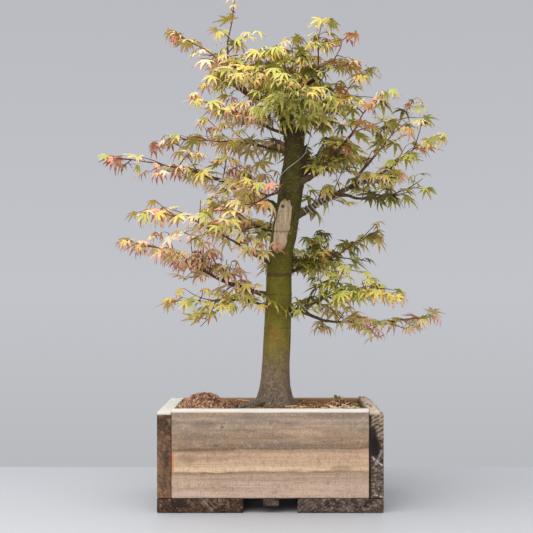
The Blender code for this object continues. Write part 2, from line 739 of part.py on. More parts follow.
def grow_mass(row, stem, spaces, limbs, collection, material):
    mass = Mass(row.bough, spaces, limbs)
    for pair in range(row.pairs):
        share = (pair + FIRST_PAIR) / (row.pairs + PAIR_REST)
        for side in (-1, 1):
            draw = random.Random(f"{row.bough} {pair} {side}")
            mass.add_twig(stem.point(share), stem.heading(share), side, share, draw)
    draw = random.Random(f"{row.bough} tip")
    for angle in (0, -58, 58):
        mass.add_leaf(stem.point(0.97), turned(stem.heading(0.97), angle, 0), draw, YOUNG_LEAF)
    line = stem.line()
    shares = [0.0] + [index / (STEM_POINTS - 2) for index in range(STEM_POINTS - 1)]
    item = tube(row.bough + "_leaves", line, [stem.radius(share) for share in shares], 0)
    collection.objects.link(item)
    combine(item, "UNION", mass.pieces, "MANIFOLD")  # EXACT leaves open edges where thin leaves cross
    item.data.materials.clear()
    item.data.materials.append(material)
    return item


def make_foliage(limbs, items, collection, finishes):
    stems = {row.bough: Stem(row, limbs[row.bough]) for row in SPRAYS}
    spaces = Spaces(stems)
    surfaces = limb_tree(items)
    for row in SPRAYS:
        grow_mass(row, stems[row.bough], spaces, surfaces, collection, finishes[row.tint])


def build():
    clear_scene()
    collection = make_collection("potted_maple")
    finishes = make_finishes()
    make_planter(collection, finishes)
    make_soil(collection, finishes["clay_soil"])
    trunk = make_trunk(collection, finishes["green_bark"])
    limbs, items = make_boughs(trunk, collection, finishes["bough_bark"])
    make_foliage(limbs, items, collection, finishes)


build()
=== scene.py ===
# %% [markdown]
# # A young maple in a plank planter
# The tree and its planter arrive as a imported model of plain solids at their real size. This lesson
# dresses them: each cell makes one piece or one finish, and says what it is and why it is made in that
# way. Lengths are metres.

import json
import random
from collections import namedtuple
from math import asin, atan2, cos, degrees, exp, hypot, pi, radians, sin, sqrt

import bpy
import numpy as np
from mathutils import Matrix, Vector, noise

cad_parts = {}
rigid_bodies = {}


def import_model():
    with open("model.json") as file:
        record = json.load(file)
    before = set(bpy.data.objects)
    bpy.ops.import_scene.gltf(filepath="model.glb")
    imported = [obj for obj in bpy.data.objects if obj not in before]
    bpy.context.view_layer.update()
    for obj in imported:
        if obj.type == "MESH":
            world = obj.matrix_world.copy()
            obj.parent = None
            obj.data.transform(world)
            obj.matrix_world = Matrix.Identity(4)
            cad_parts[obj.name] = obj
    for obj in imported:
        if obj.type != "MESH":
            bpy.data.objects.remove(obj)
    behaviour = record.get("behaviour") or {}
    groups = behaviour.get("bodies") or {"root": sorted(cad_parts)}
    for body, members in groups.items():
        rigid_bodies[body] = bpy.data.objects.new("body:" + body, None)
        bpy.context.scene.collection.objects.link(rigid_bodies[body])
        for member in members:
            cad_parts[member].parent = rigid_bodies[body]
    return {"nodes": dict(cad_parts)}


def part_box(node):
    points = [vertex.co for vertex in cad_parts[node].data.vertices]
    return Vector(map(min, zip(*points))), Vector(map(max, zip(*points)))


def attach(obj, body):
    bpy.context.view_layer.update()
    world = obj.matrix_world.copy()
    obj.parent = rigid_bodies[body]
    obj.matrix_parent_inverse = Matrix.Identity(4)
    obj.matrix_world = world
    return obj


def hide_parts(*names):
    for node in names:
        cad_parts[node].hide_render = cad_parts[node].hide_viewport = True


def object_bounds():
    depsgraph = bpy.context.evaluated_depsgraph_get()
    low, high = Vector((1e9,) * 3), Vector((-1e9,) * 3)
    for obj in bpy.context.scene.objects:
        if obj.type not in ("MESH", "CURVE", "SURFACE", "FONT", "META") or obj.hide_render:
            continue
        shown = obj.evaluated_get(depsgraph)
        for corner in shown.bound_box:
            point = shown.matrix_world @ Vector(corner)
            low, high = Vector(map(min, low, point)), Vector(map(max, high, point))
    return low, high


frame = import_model()
CAD_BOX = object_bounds()
scene = bpy.context.scene
print("the packed model has", len(frame["nodes"]), "nodes")

# %% [markdown]
# ## The camera
# The plant is seen straight from the front, at the height of its lowest branches. A camera tilted down at
# the planter would draw upright boards together, so it looks level and the frame is shifted instead.

# %% Camera
FRAME_PIXELS = 533
FOCAL_PIXELS = 1136
AXIS_PIXEL = (274, 295)  # where the line of sight meets the picture
CAMERA_PLACE = (0.0067, -2.19, 0.3935)

camera_data = bpy.data.cameras.new("camera")
camera_data.sensor_width = 36
camera_data.lens = camera_data.sensor_width * FOCAL_PIXELS / FRAME_PIXELS
camera_data.shift_x = (FRAME_PIXELS / 2 - AXIS_PIXEL[0]) / FRAME_PIXELS
camera_data.shift_y = (AXIS_PIXEL[1] - FRAME_PIXELS / 2) / FRAME_PIXELS
camera = bpy.data.objects.new("camera", camera_data)
camera.location = CAMERA_PLACE
camera.rotation_euler = (pi / 2, 0, 0)
scene.collection.objects.link(camera)
scene.camera = camera
print("lens", round(camera_data.lens, 1), "mm")

# %% [markdown]
# ## Small helpers
# Colours are judged as they look on a screen, from 0 to 255, while a shader works with linear light, so
# one helper turns the first into the second. The others make a mesh, store values on it, read a table
# that is written as text, and work out directions, smooth steps and noise.

# %% Helpers
def light(tone):
    """A tone written as it looks on a screen, as linear light; what isn't text stays."""
    if not isinstance(tone, str):
        return tone
    shares = [channel / 255 for channel in bytes.fromhex(tone[1:])]
    return (*[s / 12.92 if s <= 0.04045 else ((s + 0.055) / 1.055) ** 2.4 for s in shares], 1)


def plug(tree, value, socket):
    """Link what another node makes, or set a plain value."""
    if isinstance(value, bpy.types.NodeSocket):
        tree.links.new(value, socket)
    else:
        socket.default_value = value


def socket_of(sockets, key):
    if isinstance(key, int):
        return sockets[key]
    return next(socket for socket in sockets if key in (socket.identifier, socket.name))


def add_node(tree, kind, inputs=None, **settings):
    item = tree.nodes.new(kind)
    for key, value in settings.items():
        setattr(item, key, value)
    for key, value in (inputs or {}).items():
        plug(tree, value, socket_of(item.inputs, key))
    return item


def fill_ramp(item, stops):
    elements = item.color_ramp.elements
    while len(elements) < len(stops):
        elements.new(0.5)
    for element, (position, tone) in zip(elements, stops):
        element.position = position
        element.color = light(tone)


def make_piece(name, points, faces, smooth=True):
    mesh = bpy.data.meshes.new(name)
    mesh.from_pydata([tuple(point) for point in points], [], [tuple(face) for face in faces])
    mesh.polygons.foreach_set("use_smooth", [smooth] * len(mesh.polygons))
    mesh.update()
    item = bpy.data.objects.new(name, mesh)
    scene.collection.objects.link(item)
    return item


def mark(mesh, name, kind, values, domain="POINT"):
    """Store a value for each point or face."""
    field = "vector" if kind == "FLOAT_VECTOR" else "value"
    mesh.attributes.new(name, kind, domain).data.foreach_set(field, np.array(values).ravel())


def plain(name, tone, roughness=0.9, gloss=0.2, metallic=0):
    """A finish of one plain colour."""
    material = bpy.data.materials.new(name)
    material.use_nodes = True
    inputs = material.node_tree.nodes["Principled BSDF"].inputs
    for key, value in (("Base Color", light(tone)), ("Roughness", roughness), ("Specular IOR Level", gloss),
                       ("Metallic", metallic)):
        inputs[key].default_value = value
    return material


def triangles(item):
    return sum(len(face.vertices) - 2 for face in item.data.polygons)


def hand_in(piece, nodes=(), material=None):
    """Give a finished piece its material, hide the nodes that it stands for, and set it on the root body."""
    if material:
        piece.data.materials.append(material)
    if nodes:
        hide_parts(*nodes)
    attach(piece, "root")
    print(piece.name, triangles(piece), "triangles")


def word_or_number(cell):
    try:
        return float(cell) if "." in cell else int(cell)
    except ValueError:
        return cell


def read_table(heads, text):
    """Named rows out of a table written as text."""
    Row = namedtuple("Row", heads)
    return [Row(*map(word_or_number, line.split())) for line in text.strip().splitlines()]


def heading(azimuth, elevation=0):
    """Unit vector at an azimuth from +X and an elevation, in degrees."""
    turn, lift = radians(azimuth), radians(elevation)
    flat = cos(lift)
    return Vector((flat * cos(turn), flat * sin(turn), sin(lift)))


def upward(height):
    return Vector((0, 0, height))


def turn_between(start, end):
    """The turn from one azimuth to another, the short way round."""
    return (end - start + 180) % 360 - 180


def smooth_step(value):
    share = min(max(value, 0), 1)
    return share * share * (3 - 2 * share)


def bell(offset, width):
    """A bell-shaped hump, 1 where the offset is 0."""
    return exp(-((offset / width) ** 2))


def three(value):
    return value if isinstance(value, (tuple, list)) else [value] * 3


def grain(place, stretch, seed=0):
    """Smooth noise from -1 to 1, with one density or one for each axis."""
    x, y, z = (value * density for value, density in zip(place, three(stretch)))
    return noise.noise(Vector((x + seed, y, z)))

# %% [markdown]
# ## The table, the room and the light
# The planter stands on a pale table before a plain grey wall. A wall made as a slab would hide the plant
# from behind, so the world itself is the wall: grey where the camera looks, and bright overhead like a
# white ceiling. A wide lamp above and a weaker one in front give the soft light.

# %% Table, world and lamp
TABLE_HALF_WIDTH = 1.7
TABLE_FRONT, TABLE_BACK = -1.5, 0.41
TABLE_THICKNESS = 0.03
TABLE_TONES = ((0, "#bcbdc0"), (1, "#abadb1"))  # paler towards the front
WALL_TONES = ((0.42, "#b7b9bd"), (0.5, "#c2c4c9"), (0.63, "#b9bbc0"),
              (0.9, (1.05, 1.06, 1.08, 1)))  # the last is the ceiling


def gradient(tree, place, axis, low, high, stops, target):
    """Tones along one axis of a place, from low to high."""
    here = add_node(tree, "ShaderNodeTexCoord").outputs[place]
    height = add_node(tree, "ShaderNodeSeparateXYZ", {"Vector": here}).outputs[axis]
    share = add_node(tree, "ShaderNodeMapRange", {"Value": height, "From Min": low, "From Max": high})
    ramp = add_node(tree, "ShaderNodeValToRGB", {"Fac": share.outputs["Result"]})
    fill_ramp(ramp, stops)
    tree.links.new(ramp.outputs["Color"], target)


def make_table():
    low, high = (-TABLE_HALF_WIDTH, TABLE_FRONT), (TABLE_HALF_WIDTH, TABLE_BACK)
    corners = [(x, y, z) for z in (-TABLE_THICKNESS, 0) for x, y in
               (low, (high[0], low[1]), high, (low[0], high[1]))]
    faces = [(3, 2, 1, 0), (4, 5, 6, 7), (0, 1, 5, 4), (1, 2, 6, 5), (2, 3, 7, 6), (3, 0, 4, 7)]
    table = make_piece("table", corners, faces, smooth=False)
    table.location.z = -0.0002
    material = plain("table", TABLE_TONES[0][1], 0.55, 0.5)
    tree = material.node_tree
    base = tree.nodes["Principled BSDF"].inputs["Base Color"]
    gradient(tree, "Object", "Y", -0.62, 0.4, TABLE_TONES, base)
    table.data.materials.append(material)


def make_world():
    world = bpy.data.worlds.new("room")
    world.use_nodes = True
    background = world.node_tree.nodes["Background"]
    gradient(world.node_tree, "Generated", "Z", -1, 1, WALL_TONES, background.inputs["Color"])
    scene.world = world


def make_lamp(name, place, size, power, target=(0, 0, 0.5)):
    lamp = bpy.data.lights.new(name, "AREA")
    lamp.size = size
    lamp.energy = power
    item = bpy.data.objects.new(name, lamp)
    item.location = place
    item.rotation_euler = (Vector(target) - Vector(place)).to_track_quat("-Z", "Y").to_euler()
    scene.collection.objects.link(item)


make_table()
make_world()
make_lamp("ceiling_lamp", (-0.5, -0.7, 2.5), 2.2, 46)
make_lamp("front_lamp", (-0.9, -2.6, 1.3), 1.6, 19)
scene.view_settings.view_transform = "Standard"

# %% [markdown]
# ## How a finish is written
# Each finish is a small network of nodes. Written out one by one, the nodes of ten finishes would fill
# pages, so this class gives short calls for what they share: noise, ramps, blends, arithmetic and bump.
# Everything reads the place on the object in metres, so a scale of 100 is a pattern of about a centimetre.

# %% Finish
UNPAINTED = (0.8, 0.8, 0.8, 1)


class Finish:
    """A finish under construction; tone is its colour so far."""

    def __init__(self, name, roughness, gloss):
        self.material = plain(name, UNPAINTED, roughness, gloss)
        self.tree = self.material.node_tree
        self.shader = self.tree.nodes["Principled BSDF"]
        self.where = self.node("TexCoord").outputs["Object"]
        self.parts = self.node("SeparateXYZ", {"Vector": self.where}).outputs

    def node(self, kind, inputs=None, **settings):
        return add_node(self.tree, "ShaderNode" + kind, inputs, **settings)

    def stretched(self, stretch, offset=(0, 0, 0)):
        """The place, moved by an offset and then stretched."""
        moved = self.node("VectorMath", {0: self.where, 1: offset}, operation="SUBTRACT")
        return self.node("VectorMath", {0: moved.outputs[0], 1: stretch}, operation="MULTIPLY").outputs[0]

    def noise(self, stretch, detail=4, rough=0.55, offset=(0, 0, 0)):
        inputs = {"Vector": self.stretched(three(stretch), offset), "Scale": 1, "Detail": detail,
                  "Roughness": rough}
        return self.node("TexNoise", inputs).outputs["Fac"]

    def rings(self, along, pith, spacing, stretch, wobble):
        """Growth rings round a pith along one axis."""
        inputs = {"Vector": self.stretched(stretch, pith), "Scale": pi / 10 / spacing,
                  "Distortion": wobble, "Detail": 2, "Detail Scale": 1, "Detail Roughness": 0.6}
        return self.node("TexWave", inputs, wave_type="RINGS", rings_direction=along).outputs["Fac"]

    def math(self, operation, *values):
        result = values[0]
        for value in values[1:]:
            result = self.node("Math", {0: result, 1: value}, operation=operation).outputs[0]
        return result

    def times(self, *values):
        return self.math("MULTIPLY", *values)

    def plus(self, *values):
        return self.math("ADD", *values)

    def rest(self, value):
        return self.math("SUBTRACT", 1, value)

    def step(self, value, low, high):
        """0 below low and 1 above high, smooth between."""
        inputs = {"Value": value, "From Min": low, "From Max": high}
        return self.node("MapRange", inputs, interpolation_type="SMOOTHSTEP").outputs["Result"]

    def patch(self, stretch, low, high, detail=5, rough=0.64, offset=(0, 0, 0)):
        return self.step(self.noise(stretch, detail, rough, offset), low, high)

    def line(self, value, middle, half_width, soft):
        """1 within half_width of the middle value, fading over soft."""
        away = self.node("Math", {0: self.plus(value, -middle)}, operation="ABSOLUTE").outputs[0]
        return self.rest(self.step(away, half_width, half_width + soft))

    def near(self, middle, reach, soft, stretch=(1, 1, 1)):
        """1 within reach of a point, fading over soft."""
        away = self.node("VectorMath", {0: self.stretched(stretch, middle)}, operation="LENGTH")
        return self.rest(self.step(away.outputs["Value"], reach, reach + soft))

    def ramp(self, value, stops):
        item = self.node("ValToRGB", {"Fac": value})
        fill_ramp(item, stops)
        return item.outputs["Color"]

    def bands(self, value, low, high, stops):
        """A ramp with its stops in the value's own measure."""
        share = self.math("DIVIDE", self.plus(value, -low), high - low)
        return self.ramp(share, [((place - low) / (high - low), tone) for place, tone in stops])

    def blend(self, share, first, second, mode="MIX"):
        inputs = {0: share, 6: light(first), 7: light(second)}
        return self.node("Mix", inputs, data_type="RGBA", blend_type=mode).outputs[2]

    def paint(self, tone, *shares):
        """Lay a tone over the colour so far, by the product of the shares."""
        self.tone = self.blend(self.times(*shares), self.tone, tone)

    def shade(self, share, value, low, dark, high, pale):
        """Darken and lighten the colour so far with a pattern."""
        stops = ((low, (*dark, 1)), (high, (*pale, 1)))
        self.tone = self.blend(share, self.tone, self.ramp(value, stops), "MULTIPLY")

    def marked(self, name):
        return self.node("Attribute", attribute_name=name, attribute_type="GEOMETRY").outputs["Fac"]

    def done(self, relief, depth, strength):
        inputs = {"Height": relief, "Distance": depth, "Strength": strength}
        self.tree.links.new(self.node("Bump", inputs).outputs["Normal"], self.shader.inputs["Normal"])
        self.tree.links.new(self.tone, self.shader.inputs["Base Color"])
        return self.material

# %% [markdown]
# ## Sawn planks: the shape
# The planter is nailed from old planks, rough from the saw, with arrises rounded and chipped by years
# outdoors. A box with a bumpy finish would keep a dead straight outline. So each plank is a fine lattice
# over a box: points near an edge are drawn in to a worn round, and all are sunk a little by fibres, saw
# marks and chips. None is raised, so a plank stays inside its solid.

# %% Sawn planks, shape
PLANK_CELL = 0.0028
EDGE_ROWS = (0, 0.0006, 0.0015, 0.0028)  # the lattice is finer along each arris
ARRIS = (0.0012, 0.0034)  # least and most worn round
FIBRE_DEPTH = 0.0004
SAW_DEPTH = 0.00012
CHIP_DEPTH = 0.0026
BREAK_DEPTH = 0.013  # how far down a broken top is felt
SPLIT_DEPTH = 0.0048


def lattice(length):
    """Places along one side of a box, close together at both ends."""
    middle = np.linspace(EDGE_ROWS[-1], length - EDGE_ROWS[-1],
                         max(2, round((length - 2 * EDGE_ROWS[-1]) / PLANK_CELL)))
    return np.concatenate([EDGE_ROWS[:-1], middle, length - np.array(EDGE_ROWS[-2::-1])])


def box_lattice(sizes):
    """Points on a box's surface, and four-sided faces that look out."""
    rows = [lattice(size) for size in sizes]
    counts = [len(row) for row in rows]
    found, points, faces = {}, [], []

    def corner(index):
        if index not in found:
            found[index] = len(points)
            points.append([rows[axis][index[axis]] - sizes[axis] / 2 for axis in range(3)])
        return found[index]

    for axis in range(3):
        first, second = (axis + 1) % 3, (axis + 2) % 3
        for end in (0, counts[axis] - 1):
            for a in range(counts[first] - 1):
                for b in range(counts[second] - 1):
                    face = []
                    for da, db in ((0, 0), (1, 0), (1, 1), (0, 1)):
                        index = [0, 0, 0]
                        index[axis], index[first], index[second] = end, a + da, b + db
                        face.append(corner(tuple(index)))
                    faces.append(face if end else face[::-1])
    return points, faces


def grained(along, across, lengthways):
    """A density across the grain, and another along it."""
    return [lengthways if axis == along else across for axis in range(3)]


def worn_point(point, half, along, middle, seed):
    """A point of a plank, drawn in by wear at its arrises and marks on its faces."""
    place = [point[axis] + middle[axis] for axis in range(3)]
    wear = 0.5 + 0.5 * grain(place, 38, seed)
    chip = max(grain(place, 90, seed + 7.3) - 0.42, 0)
    arris = ARRIS[0] + (ARRIS[1] - ARRIS[0]) * wear + CHIP_DEPTH * chip
    inner = [min(max(point[axis], arris - half[axis]), half[axis] - arris) for axis in range(3)]
    out = Vector([point[axis] - inner[axis] for axis in range(3)]).normalized()
    stretch = grained(along, 260, 11)
    finer = [2.4 * number for number in stretch]
    fibres = abs(grain(place, stretch, seed + 3.1)) + 0.5 * abs(grain(place, finer, seed))
    saw = 0.5 + 0.5 * grain(place, grained(along, 25, 170), seed + 5.7)
    sunk = FIBRE_DEPTH * fibres + SAW_DEPTH * saw
    return Vector(middle) + Vector(inner) + out * (arris - sunk)


def broken_top(place, half, middle):
    """The outer front corner has rotted round, and a split runs in from there."""
    near_top = smooth_step((place.z - (middle.z + half.z - BREAK_DEPTH)) / BREAK_DEPTH)
    outward = smooth_step((place.x - (middle.x - 0.1 * half.x)) / (1.2 * half.x))
    forward = smooth_step((-0.06 - place.y) / 0.075)
    ragged = 1 + 0.5 * grain(place, (120, 60, 60), 2) + 0.4 * grain(place, (40, 24, 24), 6)
    drop = (0.007 + 0.002 * forward) * outward * ragged
    crack = middle.x - 0.004 + 0.0045 * grain(place, (0, 16, 0), 9)
    drop += SPLIT_DEPTH * smooth_step((0.01 - place.y) / 0.05) * bell(place.x - crack, 0.0017)
    return place - Vector((0.0012 * near_top * outward * forward, 0, drop * near_top))


def make_plank(name, along, seed):
    low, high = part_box(name)
    sizes = high - low
    points, faces = box_lattice(sizes)
    middle = (low + high) / 2
    worn = [worn_point(point, sizes / 2, along, middle, seed) for point in points]
    if name == "right_end_board":
        worn = [broken_top(place, sizes / 2, middle) for place in worn]
    return make_piece(name.replace("_board", "_plank").replace("_batten", "_strip"), worn, faces)

# %% [markdown]
# ## Sawn planks: the finish
# A plank's pattern is best made the way it grows: rings round a pith that runs along the plank, somewhere
# outside it. On the long faces they come out as streaks and on the end grain as arcs, with no seams. Over
# them lie fibres, stains, dark knots, and bands where water and soil have stood behind the board.

# %% Sawn planks, finishes
class Weathered(Finish):
    """A finish for wood that has stood out of doors."""

    def wood(self, along, pith, spacing, tones, seed, ring_share):
        """Rings and fibres in three tones; the fibres serve for the bump as well."""
        stretch = grained(along, 620, 14)
        offset = (seed, seed * 0.37, seed * 0.71)
        rings = self.rings("XYZ"[along], pith, spacing, grained(along, 1, 0.06), 4.5)
        self.fibres = self.noise(stretch, 5, 0.62, offset)
        coarse = self.noise([s * 0.16 for s in stretch], 4, 0.6, offset)
        figure = self.plus(self.times(rings, ring_share), self.times(coarse, 1 - ring_share))
        self.tone = self.ramp(figure, list(zip((0.28, 0.5, 0.72), tones)))
        self.shade(0.9, self.fibres, 0.3, (0.72, 0.7, 0.68), 0.6, (1.06, 1.06, 1.06))

    def blotches(self, stretch, low, high, share, tone, seed):
        self.paint(tone, self.patch(stretch, low, high, offset=(seed, seed * 1.7, seed * 0.3)), share)

    def specks(self, density, dark, dark_share, pale, pale_share, seed):
        """Fine dark pits and pale fibre ends."""
        self.paint(dark, self.patch(density, 0.53, 0.66, 4, 0.68, (seed, 1, 4)), dark_share)
        self.paint(pale, self.patch(density, 0.55, 0.68, 4, 0.68, (2, seed, 7)), pale_share)

    def scratch(self, start, end, half_width, tone, share):
        """A scratch between two points on a plank's front, told by X and Z."""
        run, rise = end[0] - start[0], end[1] - start[1]
        length = hypot(run, rise)
        off = self.plus(self.times(self.parts[0], rise / length), self.times(self.parts[2], -run / length),
                        self.times(self.noise(150, 4, 0.7), 0.006))
        middle = (start[0] * rise - start[1] * run) / length + 0.003
        centre = ((start[0] + end[0]) / 2, -0.14, (start[1] + end[1]) / 2)
        self.paint(tone, self.line(off, middle, half_width, 0.0012),
                   self.near(centre, length * 0.42, length * 0.12, (1, 0.1, 1)),
                   self.patch(260, 0.36, 0.56, 3, 0.6, (3, 1, 0)), share)

    def finished(self, depth=0.0012, strength=0.7):
        return self.done(self.fibres, depth, strength)

    def above(self, low, high):
        return self.step(self.parts[2], low, high)

    def bleached_and_lit_edge(self, node, tone):
        """The upper edge, bleached and rubbed pale, and lighter still as painted highlight where the light
        from above falls.
        """
        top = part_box(node)[1].z
        height = self.plus(self.parts[2], self.times(self.fibres, 0.003))
        self.paint(tone, self.step(height, top - 0.0048, top - 0.0022), 0.85)


def front_finish(seed):
    """Grey brown above, a warm band with a yellowish foot, and pinkish grey below."""
    look = Weathered("front_plank", 0.86, 0.18)
    height = look.plus(look.parts[2], look.times(look.noise(6, 3), 0.012),
                       look.times(look.parts[0], -0.013),
                       look.times(look.noise((30, 30, 190), 4, 0.7), 0.01), -0.011)
    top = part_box("front_board")[1].z
    bands = look.bands(height, 0.026, top, (
        (0.026, "#d6bca8"), (0.042, "#d0b4a0"), (0.058, "#c6ac96"),
        (0.067, "#baa08a"), (0.0735, "#a68c76"), (0.077, "#e8c8a2"),
        (0.084, "#e0c0a0"), (0.094, "#d2b092"), (0.107, "#ceac90"),
        (0.1135, "#b29278"), (0.1165, "#846e5a"), (0.128, "#a28a72"),
        (0.146, "#aa927a"), (0.16, "#ac9884"), (0.172, "#a69280"), (top, "#b0967a")))
    look.wood(0, (0, -0.02, -0.06), 0.0105, (
        (0.74, 0.71, 0.68, 1), (0.96, 0.94, 0.92, 1), (1.16, 1.15, 1.13, 1)), seed, 0.15)
    look.tone = look.blend(0.7, bands, look.tone, "MULTIPLY")
    look.paint("#7e7066", look.patch((11, 11, 46), 0.46, 0.62, offset=(4, 6.8, 1.2)),
               look.above(0.112, 0.12), 0.55)
    look.blotches((7, 7, 34), 0.52, 0.66, 0.45, "#d6b294", 8)
    look.blotches((5, 5, 40), 0.54, 0.66, 0.3, "#967a64", 11)
    look.blotches((26, 26, 60), 0.58, 0.68, 0.3, "#7c6654", 14)
    look.specks(330, "#665040", 0.42, "#e8d6c2", 0.34, 3)
    look.specks(120, "#76604e", 0.3, "#dec8b2", 0.24, 6)
    for middle, half_width, depth in ((0.115, 0.0008, 0.5), (0.0742, 0.0006, 0.4), (0.064, 0.0004, 0.15)):
        broken = look.patch((22, 10, 90), 0.4, 0.62, 3, 0.6, (middle * 90, 0, 0))
        look.paint("#5c4634", look.line(height, middle, half_width, 0.002), broken, depth)
    for x, z, reach, wide, share in ((-0.087, 0.155, 0.0007, 0.8, 0.8), (-0.098, 0.122, 0.0006, 0.5, 0.7),
                                     (-0.15, 0.098, 0.006, 0.5, 0.28), (-0.12, 0.16, 0.005, 0.3, 0.4),
                                     (0.128, 0.08, 0.004, 0.3, 0.35)):
        look.paint("#604e40", look.near((x, -0.14, z), reach, max(0.0026, reach), (wide, 0.2, 1)), share)
    look.shade(0.6, look.noise((300, 4, 60), 4, 0.6), 0.35, (0.9, 0.9, 0.9), 0.6, (1.04, 1.04, 1.04))
    look.paint("#c8783a", look.near((-0.1795, -0.13, 0.09), 0.003, 0.005, (1, 0.2, 0.22)), 0.8)
    # the upper edge: bleached and worn, and partly painted highlight from the light above
    look.bleached_and_lit_edge("front_board", "#eee8de")
    return look.finished(0.001, 0.6)


def back_finish(seed):
    look = Weathered("back_plank", 0.86, 0.18)
    look.wood(0, (0, 0.17, -0.05), 0.01, ("#6e5a42", "#927a5c", "#ac9472"), seed, 0.2)
    look.blotches((7, 7, 40), 0.48, 0.66, 0.5, "#8a7c6a", seed)
    look.specks(300, "#544232", 0.45, "#ccb89a", 0.35, 5)
    # the upper edge: bleached and worn, and partly painted highlight from the light above
    look.bleached_and_lit_edge("back_board", "#a48662")
    return look.finished(0.001, 0.6)


def left_end_finish(seed):
    """Dark, with rusty and nearly black patches, and a top that is bleached and partly painted highlight."""
    look = Weathered("left_end_plank", 0.86, 0.18)
    look.wood(1, (-0.26, 0, 0.02), 0.0085, ("#584234", "#745a46", "#8c7058"), seed, 0.14)
    look.blotches((24, 24, 30), 0.46, 0.62, 0.65, "#8e6244", 2)
    look.blotches((34, 34, 20), 0.52, 0.66, 0.75, "#3a2e26", 6.3)
    look.paint("#382921", look.above(0.12, 0.16), 0.68)
    look.blotches(60, 0.52, 0.6, 0.6, "#a07858", 9.1)
    look.specks(300, "#342820", 0.55, "#a68e76", 0.35, 4)
    look.specks(90, "#3c3028", 0.4, "#967a60", 0.35, 8)
    # the upper edge: bleached and worn, and partly painted highlight from the light above
    look.bleached_and_lit_edge("left_end_board", "#e8e4da")
    return look.finished()


def right_end_finish(seed):
    """Pale ring arcs above, a black rotten patch, and a grey foot."""
    look = Weathered("right_end_plank", 0.86, 0.18)
    look.wood(1, (0.15, 0, 0.225), 0.0066, ("#5c4a3c", "#8e7864", "#beaa94"), seed, 0.34)
    look.paint("#3a2e28", look.rest(look.above(0.12, 0.15)), 0.74)
    look.blotches((44, 44, 30), 0.5, 0.62, 0.6, "#382c25", 3.1)
    look.specks(260, "#2e2622", 0.7, "#cec0b2", 0.55, 7)
    look.specks(110, "#382e28", 0.5, "#b09e8c", 0.55, 2)
    for x, z, reach, squash in ((0.185, 0.138, 0.005, 0.4), (0.189, 0.118, 0.0074, 0.55)):
        look.paint("#221c1a", look.near((x, -0.14, z), reach, 0.006, (1, 0.1, squash)), 0.94)
    # a near black strip along the inner edge, next to the front board: painted shade in the joint
    look.paint("#2c2420", look.rest(look.step(look.parts[0], 0.1815, 0.1838)), 0.85)
    look.scratch((0.1836, 0.1012), (0.203, 0.085), 0.0009, "#cec6be", 0.8)
    look.scratch((0.19, 0.086), (0.2015, 0.114), 0.0016, "#a0948a", 0.75)
    look.scratch((0.188, 0.06), (0.2035, 0.048), 0.0014, "#887a70", 0.7)
    look.scratch((0.187, 0.0335), (0.203, 0.029), 0.0007, "#deccb8", 0.75)
    top = look.above(0.175, 0.18)
    look.paint("#e0ceb6", top, 0.75)
    look.paint("#76563e", look.patch((60, 16, 60), 0.5, 0.58, 5, 0.66, (4, 1, 2)), top, 0.85)
    return look.finished()


def floor_finish(name, pith, seed, tones, pale):
    """End grain, dark from standing in the wet, with pale scratches; the drain strip gets darker tones
    still, partly as painted shade for its place under the box.
    """
    look = Weathered(name, 0.88, 0.16)
    look.wood(1, pith, 0.006, tones, seed, 0.14)
    look.blotches((40, 40, 60), 0.48, 0.6, 0.7, "#2a201b", seed)
    look.blotches((70, 70, 80), 0.54, 0.62, 0.55, "#967e6e", seed + 2)
    look.specks(260, "#281f1a", 0.6, "#a89686", pale, seed + 4)
    look.specks(80, "#2e241e", 0.45, "#887464", 0.45, seed + 7)
    if "left" in name:
        look.scratch((-0.122, 0.024), (-0.102, 0.002), 0.0006, "#9e8874", 0.8)
        look.scratch((-0.114, 0.025), (-0.096, 0.006), 0.0004, "#8c7664", 0.7)
    return look.finished()


PLANKS = {
    "front_board": (0, 1.7, "weathered_plank", front_finish(1.7)),
    "back_board": (0, 5.2, "weathered_plank", back_finish(5.2)),
    "left_end_board": (1, 9.4, "brown_plank", left_end_finish(9.4)),
    "right_end_board": (1, 3.3, "brown_plank", right_end_finish(3.3)),
    "left_floor_board": (1, 12.1, "brown_plank", floor_finish(
        "left_floor_plank", (-0.1, 0, 0.09), 12.1, ("#32241c", "#4e382b", "#6a4e3a"), 0.34)),
    "right_floor_board": (1, 15.8, "brown_plank", floor_finish(
        "right_floor_plank", (0.12, 0, -0.06), 15.8, ("#362c26", "#5c4d44", "#8a786c"), 0.85)),
    # the drain strip's dark tones are partly dirt and partly painted shade, as it sits in shadow under the
    # box
    "drain_batten": (1, 18.5, "pale_batten", floor_finish(
        "drain_strip", (0.03, 0, -0.03), 18.5, ("#2e231d", "#48372e", "#624e41"), 0.35)),
}

for node, (axis, seed, slot, material) in PLANKS.items():
    hand_in(make_plank(node, axis, seed), [node], material)

# %% [markdown]
# ## The soil
# The box is filled with hard clay grains, reddish brown and heaped towards both ends. The ground under
# them is a fine sheet with the heaps of the solid, closed by sides and a base, and sunk by two
# millimetres so that the grains on it come out at the right height.

# %% Soil ground
SOIL_HEAPS = read_table("x y height spread", """
-.14 -.018 .023 .031
-.108 -.03 .0175 .023
-.135 .07 .0075 .036
.134 -.022 .013 .027
.092 -.06 .0055 .026
""")
MOUNDS = read_table("x y height spread", """
-.06 -.072 .006 .022
-.03 -.094 .0075 .013
0 -.094 .008 .014
.05 -.085 .005 .016
.16 -.094 .008 .012
-.165 -.085 .006 .016
""")
SOIL_LUMP = 0.0016
SOIL_LUMP_SPACING = (0.078, 0.064)
SOIL_EDGE_DROP = 0.006
SOIL_EDGE_START = 0.8
SOIL_FLAT_RADIUS = 0.056
SOIL_BLEND = 0.03
SOIL_SUNK = 0.0022
SOIL_CELLS = (120, 76)
soil_low, soil_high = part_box("soil")
SOIL_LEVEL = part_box("front_board")[1].z - 0.005
TRUNK_X = 0.0086


def heaped(heaps, x, y):
    return sum(heap.height * bell(hypot(x - heap.x, y - heap.y), heap.spread) for heap in heaps)


